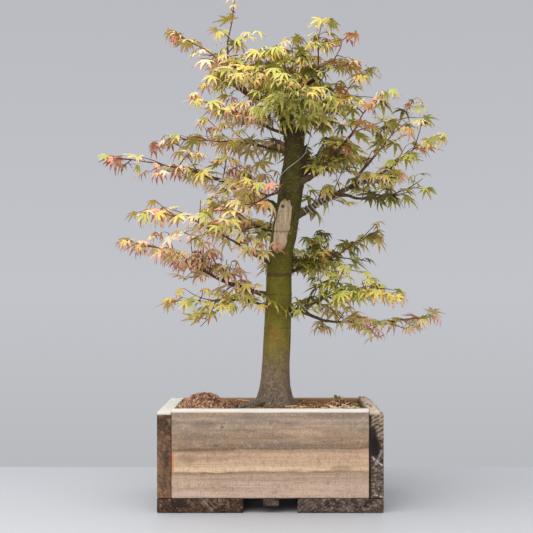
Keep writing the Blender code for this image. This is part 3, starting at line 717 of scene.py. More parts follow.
def soil_height(x, y):
    """Level at the trunk, heaped towards the ends and lower along the boards."""
    edge = max(abs(x) / soil_high.x, abs(y) / soil_high.y)
    height = heaped(SOIL_HEAPS, x, y)
    height -= SOIL_EDGE_DROP * smooth_step((edge - SOIL_EDGE_START) / (1 - SOIL_EDGE_START))
    turns = (2 * pi * x / SOIL_LUMP_SPACING[0], 2 * pi * y / SOIL_LUMP_SPACING[1])
    height += SOIL_LUMP * sin(turns[0] + sin(turns[1])) * cos(turns[1])
    height *= smooth_step((hypot(x - TRUNK_X, y) - SOIL_FLAT_RADIUS) / SOIL_BLEND)
    return SOIL_LEVEL + height + heaped(MOUNDS, x, y)


def make_ground():
    columns, rows = SOIL_CELLS
    points = []
    for y in np.linspace(soil_low.y, soil_high.y, rows + 1):
        for x in np.linspace(soil_low.x, soil_high.x, columns + 1):
            rough = 0.0012 * grain((x, y, 0), (90, 90, 1)) + 0.0007 * grain((x, y, 0), (260, 260, 1))
            points.append((x, y, soil_height(x, y) - SOIL_SUNK + rough))
    top = len(points)
    index = np.arange(top).reshape(rows + 1, columns + 1)
    faces = np.stack((index[:-1, :-1], index[:-1, 1:], index[1:, 1:], index[1:, :-1]), 2)
    faces = faces.reshape(-1, 4).tolist()
    rim = np.concatenate((index[0], index[1:, -1], index[-1, -2::-1], index[-2:0:-1, 0])).tolist()
    points += [(points[place][0], points[place][1], soil_low.z) for place in rim]
    for place in range(len(rim)):
        after = (place + 1) % len(rim)
        faces.append((rim[place], top + place, top + after, rim[after]))
    faces.append([top + place for place in range(len(rim) - 1, -1, -1)])
    ground = make_piece("soil_ground", points, faces)
    ground.data.polygons[-1].use_smooth = False
    return ground


def soil_finish():
    look = Finish("soil_ground", 0.95, 0.1)
    crumbs = look.node("TexVoronoi", {"Vector": look.where, "Scale": 230}, feature="F1").outputs["Distance"]
    look.tone = look.ramp(crumbs, ((0.1, "#684c3c"), (0.55, "#34261e")))
    look.paint("#584e44", look.patch(24, 0.45, 0.62, 4, 0.55), 0.6)
    tan = look.ramp(crumbs, ((0.1, "#aa8266"), (0.55, "#604636")))
    look.paint(tan, look.marked("left_heap"), 0.8)
    return look.done(crumbs, 0.002, 0.6)


RUBBLE = read_table("x y wide deep", """
-.062 -.085 .036 .03
-.03 -.05 .026 .03
-.15 -.1 .016 .012
""")
MOSS = read_table("x y wide deep", """
-.03 -.098 .011 .009
-.001 -.098 .014 .009
.16 -.094 .009 .012
-.168 -.09 .005 .006
.074 -.085 .006 .008
""")


def region_share(regions, x, y):
    """How far a place lies within rounded patches, from 0 to 1."""
    return min(sum(exp(-(((x - r.x) / r.wide) ** 2 + ((y - r.y) / r.deep) ** 2) ** 2)
                   for r in regions), 1)


def mark_regions(item):
    """Crumbs are heaped on the left, grey rubble lies by the trunk, and moss in places."""
    rows = []
    for vertex in item.data.vertices:
        x, y, _ = vertex.co
        moss = region_share(MOSS, x, y)
        rubble = region_share(RUBBLE, x, y) * (1 - moss)
        left = smooth_step((-0.07 - x) / 0.025) * (1 - rubble) * (1 - moss)
        rows.append((moss, rubble, left, max(1 - left - rubble - moss, 0), (1 - moss) * (1 - 0.7 * left)))
    for name, values in zip(("moss", "rubble", "left_heap", "open_soil", "all_soil"), zip(*rows)):
        mark(item.data, name, "FLOAT", values)


ground = make_ground()
mark_regions(ground)
hand_in(ground, ["soil"], soil_finish())

# %% [markdown]
# ## Trees of Geometry Nodes
# Grains, twigs and leaves repeat by the hundred, which is what Geometry Nodes are for. The class holds a
# tree while it is built: ask() adds a named input, node() a node with its links, and close() the output.
# grow() runs a tree on a mesh and keeps the outcome as a plain mesh.

# %% Node tree builder
class Maker:
    """A tree of Geometry Nodes under construction."""

    def __init__(self, name):
        self.tree = bpy.data.node_groups.new(name, "GeometryNodeTree")
        self.start = self.tree.nodes.new("NodeGroupInput")
        self.geometry = self.ask("Geometry", "Geometry")

    def ask(self, name, kind):
        self.tree.interface.new_socket(name, in_out="INPUT", socket_type="NodeSocket" + kind)
        return self.start.outputs[name]

    def node(self, kind, output, inputs=None, **settings):
        """Add a node and hand on one of its outputs."""
        kind = kind if "Node" in kind else "GeometryNode" + kind
        return add_node(self.tree, kind, inputs, **settings).outputs[output]

    def stored(self, name, kind):
        return self.node("InputNamedAttribute", "Attribute", {"Name": name}, data_type=kind)

    def set_shapes(self, points, which, turn, size):
        """Set a shape of the stock on every point."""
        shapes = self.node("CollectionInfo", "Instances", {
            "Collection": self.ask("Shapes", "Collection"), "Separate Children": True,
            "Reset Children": True})
        placed = self.node("InstanceOnPoints", "Instances", {
            "Points": points, "Instance": shapes, "Pick Instance": True, "Instance Index": which,
            "Rotation": turn, "Scale": size})
        return self.node("RealizeInstances", "Geometry", {"Geometry": placed})

    def set_materials(self, shape, number, materials):
        """Give each face the material that its number picks."""
        for place, material in enumerate(materials):
            chosen = self.node("FunctionNodeCompare", "Result", {"A_INT": number, "B_INT": place},
                               data_type="INT", operation="EQUAL")
            shape = self.node("SetMaterial", "Geometry", {
                "Geometry": shape, "Selection": chosen, "Material": self.ask(material.name, "Material")})
        return shape

    def close(self, geometry):
        self.tree.interface.new_socket("Geometry", in_out="OUTPUT", socket_type="NodeSocketGeometry")
        self.tree.links.new(geometry, self.tree.nodes.new("NodeGroupOutput").inputs[0])
        return self.tree


def grow(tree, name, source, values, materials=()):
    """Run a tree on a mesh, and keep what it makes as plain mesh."""
    values = {**values, **{material.name: material for material in materials}}
    item = bpy.data.objects.new(name, source)
    scene.collection.objects.link(item)
    modifier = item.modifiers.new("grow", "NODES")
    modifier.node_group = tree
    for socket in tree.interface.items_tree:
        if socket.in_out == "INPUT" and socket.name in values:
            modifier[socket.identifier] = values[socket.name]
    evaluated = item.evaluated_get(bpy.context.evaluated_depsgraph_get())
    mesh = bpy.data.meshes.new_from_object(evaluated)
    item.modifiers.clear()
    item.data = mesh
    return item


def stock(name, items):
    """Put loose shapes away in a collection, for a tree to pick from."""
    collection = bpy.data.collections.new(name)
    for item in items:
        scene.collection.objects.unlink(item)
        collection.objects.link(item)
    return collection


def drop_stock(collection):
    for item in list(collection.objects):
        bpy.data.objects.remove(item)
    bpy.data.collections.remove(collection)

# %% [markdown]
# ## Clay grains
# A physics run would settle the loose grains truly but slowly, and only the top layer shows. So points
# are scattered over the ground and a crumb is set on each, half sunk and turned at random. Five shapes
# are enough, because no two come out alike. Each colour of grain is one run of the tree.

# %% Clay grains
GRAIN_SHAPES = 5
GRAIN_ROUGH = 0.3
CRUMB_FACES = ("0 11 5  0 5 1  0 1 7  0 7 10  0 10 11  1 5 9  5 11 4  11 10 2  10 7 6  7 1 8  "
               "3 9 4  3 4 2  3 2 6  3 6 8  3 8 9  4 9 5  2 4 11  6 2 10  8 6 7  9 8 1")


def grain_shape(index):
    """A ball of 20 faces, pushed about by noise."""
    golden = (1 + sqrt(5)) / 2
    corners = [Vector(np.roll((near, side * golden, 0), turn)).normalized()
               for turn in range(3) for side in (1, -1) for near in (-1, 1)]
    faces = np.reshape(CRUMB_FACES.split(), (-1, 3)).astype(int).tolist()
    flat = 0.72 + 0.1 * (index % 3)
    points = [c * (1 + GRAIN_ROUGH * noise.noise(c * 1.6 + Vector((index * 4.1, 0, 0)))) for c in corners]
    points = [(p.x, p.y * 0.88, p.z * flat) for p in points]
    return make_piece(f"grain_{index}", points, faces, smooth=False)


def grain_tree():
    maker = Maker("scatter grains")
    seed = maker.ask("Seed", "Int")
    share = maker.node("InputNamedAttribute", "Attribute", {"Name": maker.ask("Region", "String")},
                       data_type="FLOAT")
    density = maker.node("ShaderNodeMath", 0, {"Value": maker.ask("Density", "Float"), "Value_001": share},
                         operation="MULTIPLY")
    upward = maker.node("ShaderNodeSeparateXYZ", "Z", {"Vector": maker.node("InputNormal", 0)})
    top = maker.node("FunctionNodeCompare", "Result", {"A": upward, "B": 0.3}, data_type="FLOAT",
                     operation="GREATER_THAN")
    points = maker.node("DistributePointsOnFaces", "Points", {
        "Mesh": maker.geometry, "Selection": top, "Density": density, "Seed": seed})
    which = maker.node("FunctionNodeRandomValue", 2, {
        "Min_002": 0, "Max_002": GRAIN_SHAPES - 1, "Seed": seed}, data_type="INT")
    turn = maker.node("FunctionNodeRandomValue", 0, {"Max": (6.28, 6.28, 6.28), "Seed": seed},
                      data_type="FLOAT_VECTOR")
    size = maker.node("FunctionNodeRandomValue", 1, {
        "Min_001": maker.ask("Smallest", "Float"), "Max_001": maker.ask("Largest", "Float"), "Seed": seed},
        data_type="FLOAT")
    solid = maker.set_shapes(points, which, turn, size)
    return maker.close(maker.node("SetMaterial", "Geometry", {
        "Geometry": solid, "Material": maker.ask("Material", "Material")}))


GRAIN_KINDS = read_table("name tone region density smallest largest seed", """
tan_crumbs #ba9072 left_heap 26000 .0016 .004 5
brown_crumbs #8a6650 left_heap 26000 .0015 .0038 13
pale_crumbs #e2c0a2 left_heap 7000 .0014 .0032 29
red_grains #ac7856 open_soil 30000 .0014 .0032 3
brown_grains #7c583e open_soil 26000 .0013 .0034 11
pale_grains #ceac8a open_soil 7000 .0012 .0028 23
grey_grains #96887e rubble 22000 .0012 .0032 31
ash_grains #685a52 rubble 24000 .0012 .0034 37
dark_grains #42322a all_soil 9000 .001 .003 47
moss_grains #78802c moss 60000 .0007 .0018 53
""")
shapes = stock("grain shapes", [grain_shape(index) for index in range(GRAIN_SHAPES)])
tree = grain_tree()
for kind in GRAIN_KINDS:
    grains = grow(tree, kind.name, ground.data, {
        "Density": float(kind.density), "Seed": kind.seed, "Smallest": kind.smallest,
        "Largest": kind.largest, "Region": kind.region, "Shapes": shapes,
        "Material": plain(kind.name, kind.tone, 0.95)})
    hand_in(grains)
drop_stock(shapes)

# %% [markdown]
# ## Weeds, straws and a stone
# Small things tell the soil's size: seedlings, dry straws and a dark stone. A seedling is a handful of
# oval leaves round a point and a straw a thin three-sided rod, with their feet at the soil's height.

# %% Small things on the soil
def oval_leaf(root, direction, length, points, faces):
    """Add a folded blade of six faces."""
    aside = direction.cross(upward(1)).normalized()
    start = len(points)
    points.append(root)
    for share, wide in ((0.35, 0.2), (0.72, 0.22)):
        middle = root + direction * length * share
        lift = upward(0.1 * length)
        half = aside * wide * length
        points.extend((middle + half + lift, middle, middle - half + lift))
    points.append(root + direction * length)
    faces.extend([tuple(start + index for index in face) for face in (
        (0, 2, 1), (0, 3, 2), (1, 2, 5, 4), (2, 3, 6, 5), (4, 5, 7), (5, 6, 7))])


def make_weeds():
    draw = random.Random("weeds")
    points, faces = [], []
    for x, y, count, size in WEEDS:
        foot = Vector((x, y, soil_height(x, y)))
        for number in range(count):
            lean = heading(draw.uniform(0, 360), draw.uniform(5, 75))
            shift = Vector((draw.uniform(-1, 1), draw.uniform(-1, 1), draw.uniform(0, 1.2)))
            root = foot + shift * size * 0.6
            oval_leaf(root, lean, size * draw.uniform(0.7, 1.2), points, faces)
    return make_piece("weeds", points, faces)


def make_straws():
    draw = random.Random("straws")
    points, faces = [], []
    for x, y, count in STRAWS:
        for number in range(count):
            azimuth, length = draw.uniform(0, 180), draw.uniform(0.01, 0.024)
            here = Vector((x + draw.uniform(-0.015, 0.015), y + draw.uniform(-0.015, 0.015), 0))
            step = heading(azimuth) * length / 2
            aside = heading(azimuth + 90) * draw.uniform(0.0004, 0.0008)
            start = len(points)
            for end in (here - step, here + step):
                end.z = soil_height(end.x, end.y) + STRAW_LIFT
                points.extend((end + aside, end - aside, end + upward(2 * aside.length)))
            faces.extend([tuple(start + index for index in face) for face in (
                (0, 1, 4, 3), (1, 2, 5, 4), (2, 0, 3, 5), (2, 1, 0), (3, 4, 5))])
    return make_piece("straws", points, faces, smooth=False)


WEEDS = ((0.124, -0.02, 16, 0.0065), (0.133, -0.024, 12, 0.0055), (0.16, -0.094, 26, 0.005),
         (0.074, -0.084, 8, 0.0045), (0.098, 0.03, 8, 0.0045), (-0.17, -0.096, 8, 0.004))
STRAWS = ((0.148, -0.06, 10), (0.108, -0.08, 5), (0.048, -0.076, 4), (-0.06, 0.06, 4))
STRAW_LIFT = 0.0022
STONE = (0.029, -0.096, 0.005)

hand_in(make_weeds(), material=plain("weed_green", "#7c9234", 0.6))
hand_in(make_straws(), material=plain("dry_straw", "#decca0", 0.8))
stone = grain_shape(3)
stone.name = "dark_stone"
for vertex in stone.data.vertices:
    vertex.co = vertex.co * STONE[2] + Vector((STONE[0], STONE[1], soil_height(*STONE[:2])))
hand_in(stone, material=plain("dark_stone", "#262424", 0.6))

# %% [markdown]
# ## The trunk's line
# The trunk is told as stations: a height, and the middle and the radius there. A smooth curve runs
# through them, and root ridges swell the foot. The solid follows the same rules, so the bark fits it.

# %% Trunk line
TRUNK_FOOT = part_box("trunk")[0].z
TRUNK = read_table("height x y radius", """
.18 .0086 0 .0268
.24 .0097 .001 .0262
.295 .0119 .002 .0262
.36 .0148 .001 .0254
.426 .0163 -.001 .0242
.473 .019 -.001 .024
.507 .0256 0 .0244
.55 .0323 .001 .0236
.592 .0384 .001 .0238
.627 .0447 0 .0242
.66 .0478 -.001 .0216
.69 .0446 -.001 .018
.725 .0325 0 .0142
.76 .0205 0 .011
.786 .013 0 .0078
""")
TRUNK[0] = TRUNK[0]._replace(height=TRUNK_FOOT)
FLARE = 0.019
FLARE_HEIGHT = 0.024
FLARE_LOBES = ((20, 1), (95, 0.7), (170, 0.95), (235, 0.6), (300, 0.85))
FLARE_LOBE_WIDTH = 34
FLARE_REST = 0.26


def along(rows, share):
    """A point on the smooth curve through rows of numbers."""
    rows = np.array(rows, dtype=float)
    place = min(max(share, 0), 1) * (len(rows) - 1)
    first = min(int(place), len(rows) - 2)
    t = place - first
    before, after = rows[max(first - 1, 0)], rows[min(first + 2, len(rows) - 1)]
    start, end = rows[first], rows[first + 1]
    leave, arrive = (end - before) / 2, (after - start) / 2
    return ((2 * t**3 - 3 * t**2 + 1) * start + (t**3 - 2 * t**2 + t) * leave
            + (3 * t**2 - 2 * t**3) * end + (t**3 - t**2) * arrive)


def trunk_at(height):
    """Middle and radius of the trunk at a height."""
    heights = [row.height for row in TRUNK]
    share = float(np.interp(height, heights, np.linspace(0, 1, len(TRUNK))))
    _, x, y, radius = along(TRUNK, share)
    return Vector((x, y, height)), float(radius)


def flare_at(height, azimuth):
    """How far the root ridges stand out."""
    ridge = max(weight * bell(turn_between(lobe, azimuth), FLARE_LOBE_WIDTH)
                for lobe, weight in FLARE_LOBES)
    flare = FLARE * (FLARE_REST + (1 - FLARE_REST) * ridge)
    return flare * exp(-(height - TRUNK_FOOT) / FLARE_HEIGHT)


print("the trunk is", round(1000 * (TRUNK[-1].height - TRUNK_FOOT)), "mm tall")

# %% [markdown]
# ## The trunk's bark
# A young maple's bark is smooth: fine upright striation, small corky dashes and faint rings where each
# year's bud sat, rougher at the foot. The pruned face is bare wood with cracks, and a rim of new bark
# rolls over its edge. All of it is relief on one fine mesh of rings, whose radius follows a few noises.
# The share of bare wood is stored at each point, for the finish to read.

# %% Trunk mesh
TRUNK_SIDES = 132
TRUNK_RINGS = 400
SCAR_AZIMUTH = 252
SCAR_MIDDLE = 0.5255
SCAR_HALF_HEIGHT = 0.0545
SCAR_HALF_WIDTH = 0.0182
SCAR_DEPTH = 0.0185
BUD_RINGS = (0.33, 0.3945, 0.432, 0.6, 0.648, 0.705)
STUB_HEIGHT = 0.628
STUB_AZIMUTH = 350
STUB_REACH = 0.041
STUB_RISE = 0.014
STUB_RADIUS = 0.0092
ROOT = ((-0.01, -0.02, 0.193, 0.009), (-0.026, -0.034, 0.188, 0.0088), (-0.038, -0.046, 0.185, 0.008),
        (-0.052, -0.06, 0.182, 0.006), (-0.062, -0.068, 0.18, 0.003))  # x, y, height, radius
ROOT_RINGS = 40
STUB_RINGS = 26
STUB_SIDES = 32


def scar_share(height, turn, radius):
    """How far inside the pruned face a point lies: its edge is 0, and bark is below."""
    up = (height - SCAR_MIDDLE) / SCAR_HALF_HEIGHT
    width = SCAR_HALF_WIDTH * (0.92 if up > 0 else 0.92 + 0.08 * up)
    over = radius * sin(radians(min(max(turn, -90), 90))) / width
    wobble = 0.16 * noise.noise(Vector((turn * 0.06, height * 60, 4)))
    blunt = 3 if up > 0 else 6
    return 1 - sqrt(abs(up) ** blunt + over * over) + wobble if abs(turn) < 90 else -1


def trunk_skin(height, azimuth):
    """The trunk's reach at one place, and its share of bare wood."""
    middle, radius = trunk_at(height)
    place = middle + radius * heading(azimuth)
    turn = turn_between(SCAR_AZIMUTH, azimuth)
    reach = radius + flare_at(height, azimuth)
    foot = 1 - smooth_step((height - 0.225) / 0.07)
    striation = grain(place, (150, 150, 9), 2) * 0.0003 + grain(place, (420, 420, 26), 5) * 0.00014
    lumps = grain(place, (30, 30, 22), 8) * 0.00075
    cracks = -abs(grain(place, (210, 210, 30), 11)) * 0.0011 * foot
    cork = max(grain(place, (190, 190, 620), 14) - 0.3, 0) * 0.001
    rings = sum(0.00055 * bell(height - ring, 0.0013) - 0.0003 * bell(height - ring + 0.003, 0.0014)
                for ring in BUD_RINGS)
    inside = scar_share(height, turn, radius)
    bare = smooth_step(inside / 0.1)
    rim = 0.0016 * bell(inside + 0.07, 0.085)
    skin = reach + striation + lumps + cracks + cork + rings + rim * (1 - bare)
    if bare <= 0:
        return min(skin, reach + 0.0022), 0
    face = SCAR_DEPTH / max(cos(radians(turn)), 0.5)
    crack = -0.0016 * smooth_step((0.1 - abs(grain(place, (170, 170, 10), 21))) / 0.08)
    across = -0.0009 * bell(height - 0.515 - 0.002 * grain(place, (90, 90, 9)), 0.0011)
    eye = -0.003 * bell(height - 0.5675, 0.0042) * bell(turn, 16)
    wood_face = min(face, reach - 0.0008) + crack + across + eye + 0.0004 * grain(place, (300, 300, 40), 9)
    return skin + (wood_face - skin) * bare, bare


def join_rings(name, sets_of_rings):
    """Several closed skins in one mesh."""
    points, faces = [], []
    for rings in sets_of_rings:
        index = np.arange(len(rings) * len(rings[0])).reshape(len(rings), -1) + len(points)
        points += [point for ring in rings for point in ring]
        low, high = index[:-1], index[1:]
        skin = np.stack((low, np.roll(low, -1, 1), np.roll(high, -1, 1), high), 2)
        faces += skin.reshape(-1, 4).tolist() + [index[0, ::-1].tolist(), index[-1].tolist()]
    return make_piece(name, points, faces)


def rough_ring(middle, ahead, radius, coarse, fine):
    """A knobbly ring square to a direction; coarse and fine are a share, a density and a seed."""
    across = ahead.cross(upward(1)).normalized()
    up = across.cross(ahead).normalized()
    ring = []
    for side in range(STUB_SIDES):
        angle = 2 * pi * side / STUB_SIDES
        out = radius * (cos(angle) * across + sin(angle) * up)
        rough = 1 + sum(share * grain(middle + out, *marks) for share, *marks in (coarse, fine))
        ring.append(middle + rough * out)
    return ring


def stub_rings():
    """The healed stump of a limb, swollen at its foot and rounded over."""
    start, _ = trunk_at(STUB_HEIGHT)
    run = STUB_REACH * heading(STUB_AZIMUTH) + upward(STUB_RISE)
    rings = []
    for share in np.linspace(0, 1, STUB_RINGS).tolist():
        round_end = sqrt(max(1 - (max(share - 0.72, 0) / 0.28) ** 2, 0.02))
        radius = (STUB_RADIUS + 0.0075 * bell(share - 0.3, 0.26)) * round_end
        rings.append(rough_ring(start + run * share, run, radius, (0.07, 110, 0), (0.04, 340, 0)))
    return rings


def root_rings():
    """A surface root that goes under after a few centimetres."""
    rings = []
    for share in np.linspace(0, 1, ROOT_RINGS).tolist():
        x, y, z, radius = along(ROOT, share).tolist()
        ahead = Vector(along(ROOT, min(share + 0.02, 1))[:3]) - Vector(along(ROOT, max(share - 0.02, 0))[:3])
        rings.append(rough_ring(Vector((x, y, z)), ahead, radius, (0.22, 70, 0), (0.1, 260, 3)))
    return rings


def make_trunk():
    rings, bare = [], []
    for share in np.linspace(0, 1, TRUNK_RINGS).tolist():
        height = TRUNK_FOOT + (TRUNK[-1].height - TRUNK_FOOT) * share**1.08
        middle, _ = trunk_at(height)
        ring = []
        for azimuth in [360 * side / TRUNK_SIDES for side in range(TRUNK_SIDES)]:
            reach, share_bare = trunk_skin(height, azimuth)
            ring.append(middle + reach * heading(azimuth))
            bare.append(share_bare)
        rings.append(ring)
    stub, root = stub_rings(), root_rings()
    trunk = join_rings("trunk_bark", [rings, stub, root])
    mark(trunk.data, "bare_wood", "FLOAT", bare + [0] * (len(stub) + len(root)) * STUB_SIDES)
    return trunk


trunk = make_trunk()
print("the bark has", len(trunk.data.vertices), "points")

# %% [markdown]
# ## The bark's colours
# The bark is grey brown at the foot, olive above, and dark and mossy under the crown, where the darkness is
# partly painted shade of the crown. One ramp over the height gives that change, and mottling, striation,
# cork dashes and dark rings are laid over it. The pruned face is grey beige wood, chosen where the mesh says
# so.

# %% Bark finishes
def trunk_finish():
    look = Weathered("trunk_bark", 0.8, 0.22)
    height = look.plus(look.parts[2], look.times(look.plus(look.noise((26, 26, 14), 5, 0.65), -0.5), 0.09))
    # the stops from 0.54 up are mossy bark, darkened further as painted shade from the crown above
    look.tone = look.bands(height, 0.18, 0.8, (
        (0.184, "#887464"), (0.24, "#826e58"), (0.275, "#86753e"), (0.31, "#82762a"),
        (0.4, "#7c7424"), (0.45, "#68621c"), (0.54, "#524c1c"), (0.64, "#4e4a18"),
        (0.7, "#423822"), (0.78, "#483828")))
    mottle = look.noise((60, 60, 42), 6, 0.68, (3, 0, 0))
    look.shade(0.85, mottle, 0.32, (0.66, 0.64, 0.6), 0.68, (1.24, 1.22, 1.14))
    low_share = look.rest(look.step(height, 0.255, 0.295))
    look.paint("#8e7064", look.patch((34, 34, 26), 0.46, 0.64, 4, 0.6, (0, 5, 0)), low_share, 0.6)
    look.paint("#60564e", look.rest(look.step(height, 0.196, 0.222)), 0.55)
    look.paint("#9e7034", look.near((0.01, -0.026, 0.305), 0.01, 0.022, (1.3, 0.6, 0.85)),
               look.patch((70, 70, 46), 0.47, 0.6, 5, 0.65, (9, 0, 0)), 0.62)
    look.paint("#beae96", look.patch((500, 500, 360), 0.54, 0.64, 3, 0.6),
               look.plus(look.times(low_share, 0.45), 0.1))
    look.paint("#3e322a", look.patch((420, 420, 300), 0.55, 0.64, 3, 0.6, (5, 5, 0)),
               look.plus(look.times(low_share, 0.4), 0.12))
    smooth = look.tone
    look.specks(260, "#3a2e28", 0.7, "#c4b29e", 0.55, 3)
    look.specks(90, "#46382e", 0.55, "#aa9480", 0.45, 7)
    look.tone = look.blend(look.times(low_share, 0.85), smooth, look.tone)
    look.paint("#aaa060", look.patch((120, 120, 760), 0.57, 0.68, 2, 0.5, (0, 0, 2)), 0.38)
    streak = look.noise((420, 420, 16), 4, 0.6)
    look.shade(0.5, streak, 0.3, (0.76, 0.75, 0.72), 0.6, (1.06, 1.06, 1.04))
    look.paint("#c4b2a0", look.patch((90, 90, 420), 0.6, 0.68, 4, 0.6, (1, 8, 3)),
               look.near((0.012, -0.027, 0.3085), 0.006, 0.012, (1, 0.6, 1.8)), 0.7)
    exact = look.plus(look.parts[2], -0.002, look.times(look.noise((40, 40, 6), 3), 0.004))
    broken = look.patch(70, 0.38, 0.56, 3, 0.6, (0, 3, 0))
    for middle, half_width, depth in ((0.432, 0.0034, 0.72), (0.3945, 0.0007, 0.55), (0.33, 0.0006, 0.45),
                                      (0.3665, 0.0005, 0.25), (0.583, 0.0012, 0.7)):
        look.paint("#50422c", look.line(exact, middle, half_width, 0.0016), broken, depth)
    look.paint(look.ramp(mottle, ((0.34, "#2c221a"), (0.62, "#5c4832"))),
               look.near((0.082, -0.006, 0.641), 0.02, 0.016, (1, 0.6, 0.8)), 0.85)
    bark = look.tone
    look.tone = look.ramp(look.noise((300, 300, 24), 5, 0.68), (
        (0.3, "#947a60"), (0.44, "#ceb492"), (0.72, "#ecdcc2")))
    look.paint("#a48a6e", look.patch((60, 60, 46), 0.5, 0.62, 5, 0.66), 0.45)
    look.specks(420, "#705844", 0.6, "#f0e2cc", 0.55, 9)
    look.paint("#705a46", look.patch((170, 170, 150), 0.56, 0.62, 5, 0.7, (2, 0, 4)), 0.4)
    look.paint("#34281e", look.near((0.0235, -0.0185, 0.5635), 0.0024, 0.003, (1, 0.4, 1)), 0.85)
    look.paint("#604c3a", look.line(exact, 0.515, 0.0006, 0.0012), 0.5)
    bare = look.marked("bare_wood")
    look.tone = look.blend(look.step(bare, 0.35, 0.75), bark, look.tone)
    foot_of_scar = look.rest(look.above(0.474, 0.486))
    look.paint("#3a2c20", look.step(bare, 0.02, 0.3), look.rest(look.step(bare, 0.55, 0.98)),
               look.plus(look.times(foot_of_scar, 0.5), 0.4))
    return look.done(look.plus(look.times(streak, 0.6), look.times(mottle, 0.4)), 0.0012, 0.8)


def bough_finish():
    look = Finish("bough_bark", 0.78, 0.22)
    mottle = look.noise(90, 6, 0.68)
    look.tone = look.ramp(mottle, ((0.3, "#3a2c22"), (0.52, "#5c4836"), (0.72, "#82705a")))
    look.paint("#54522e", look.near((0.018, 0, 0.5), 0.05, 0.05, (1, 1, 0.12)), 0.55)
    look.paint("#9e927c", look.patch(620, 0.6, 0.68, 2, 0.55), 0.4)
    look.paint(look.ramp(mottle, ((0.34, "#703e30"), (0.66, "#9c644e"))),
               look.step(look.marked("young_wood"), 0.1, 0.75), 0.85)
    return look.done(mottle, 0.001, 0.8)


hand_in(trunk, ["trunk"], trunk_finish())

# %% [markdown]
# ## The boughs and the stems beyond them
# Each bough leaves the trunk at a known height and direction, arches, wanders a little and thins out. It
# goes on as the stem of its foliage, along a curve that leaves in the bough's own direction. The tables
# and the two classes hold the rule that the solids are made by.

# %% Bough and stem lines
BOUGHS = read_table("name parent joint azimuth reach rise bow base tip", """
left_long trunk .546 168 .109 .062 .004 .008 .0042
left_high trunk .66 144 .084 .027 .001 .0033 .0023
left_upper trunk .7 219 .103 .025 -.003 .0032 .0023
left_mid trunk .45 220 .087 .031 -.004 .0034 .0024
left_low trunk .388 188 .112 .035 -.003 .0048 .0032
left_lowest trunk .357 215 .081 .027 .006 .0032 .0023
leader trunk .774 180 .095 .034 -.015 .0054 .0034
top_left leader .611 146 .06 .062 .002 .0031 .0022
top_mid trunk .748 237 .054 .04 -.004 .0035 .0024
top_right trunk .758 2 .06 .047 .003 .0046 .003
top_rise top_right .688 47 .066 .049 .003 .0031 .0022
shoulder trunk .692 34 .067 .052 .002 .004 .0025
right_upper trunk .607 331 .088 .047 -.009 .0058 .0034
right_long trunk .534 353 .152 .077 .004 .0063 .0037
right_rise right_long .837 41 .069 .07 .002 .0031 .0022
right_long_low right_long .651 31 .069 -.006 -.002 .0033 .0023
right_mid trunk .43 33 .079 .025 .001 .0033 .0023
right_mid_low trunk .349 338 .097 .041 -.001 .0059 .0036
right_lowest right_mid_low .473 29 .062 -.023 -.004 .0034 .0025
front_upper trunk .719 271 .077 .019 .002 .0038 .0024
front_low trunk .592 247 .077 -.009 .004 .0036 .0024
back_upper trunk .735 79 .079 .043 .002 .004 .0026
back_mid trunk .638 69 .079 .025 .002 .0042 .0027
back_left trunk .503 118 .084 .022 .002 .0042 .0027
back_right trunk .453 73 .081 .01 .002 .0038 .0025
""")
SPRAYS = read_table("bough azimuth reach rise lift pairs tint fill inner", """
left_long 172 .288 .067 6 4 blush .46 5
left_high 148 .266 .032 4 4 blush .34 5
left_upper 220 .133 .023 8 3 blush .45 9
left_mid 216 .228 .071 5 4 rose .36 3
left_low 185 .187 .083 8 4 salmon .62 2
left_lowest 223 .182 -.003 -4 3 straw .48 3
leader 0 .014 .207 82 4 straw .45 6
top_left 149 .129 .088 30 4 blush .34 4
top_mid 216 .126 .019 10 4 straw 1 6
top_right 285 .062 .116 62 3 rust .6 5
top_rise 56 .099 .097 45 3 rose .22 2
shoulder 46 .157 .13 36 3 rust .42 7
right_upper 304 .154 .111 24 3 rust .85 6
right_long 352 .15 .099 28 3 rust .55 8
right_rise 46 .126 .124 42 3 rust .2 3
right_long_low 31 .156 .034 6 3 olive .2 1
right_mid 46 .204 .07 12 4 olive .66 5
right_mid_low 314 .173 .009 -6 3 lime .62 3
right_lowest 5 .212 .007 6 4 blush .5 1
front_upper 276 .222 .008 0 4 lime 1 5
front_low 240 .206 -.071 -14 3 rose .62 2
back_upper 90 .2 .111 20 4 olive .9 5
back_mid 64 .218 .044 8 3 lime .9 5
back_left 120 .227 .082 16 3 straw .8 5
back_right 73 .212 -.012 -2 3 olive .52 4
""")
GAP = 0.0003
BOUGH_CROOK = 0.0045
COLLAR_SWELL = 0.38
COLLAR_REACH = 2.2
TIP_RUN = 0.004
LEAF_OVERHANG = 0.036
STEM_TIP = 0.0008
STEM_TAPER = 1.6
KINKS_PER_METRE = 26
BOUGH_KINK, STEM_KINK = 0.003, 0.0045
KINK_SEEDS = (3.7, 11.2, 19.6)
STEM_FOOT = 0.94
# how far a stem goes on in its bough's direction, as a share of its length
STEM_LEAVES = {"leader": 0.08, "top_right": 0.1}


def kink(point, window, size):
    """A small bend, as every pair of buds leaves one."""
    bend = Vector([grain(point, KINKS_PER_METRE, seed) for seed in KINK_SEEDS])
    return bend * size * window


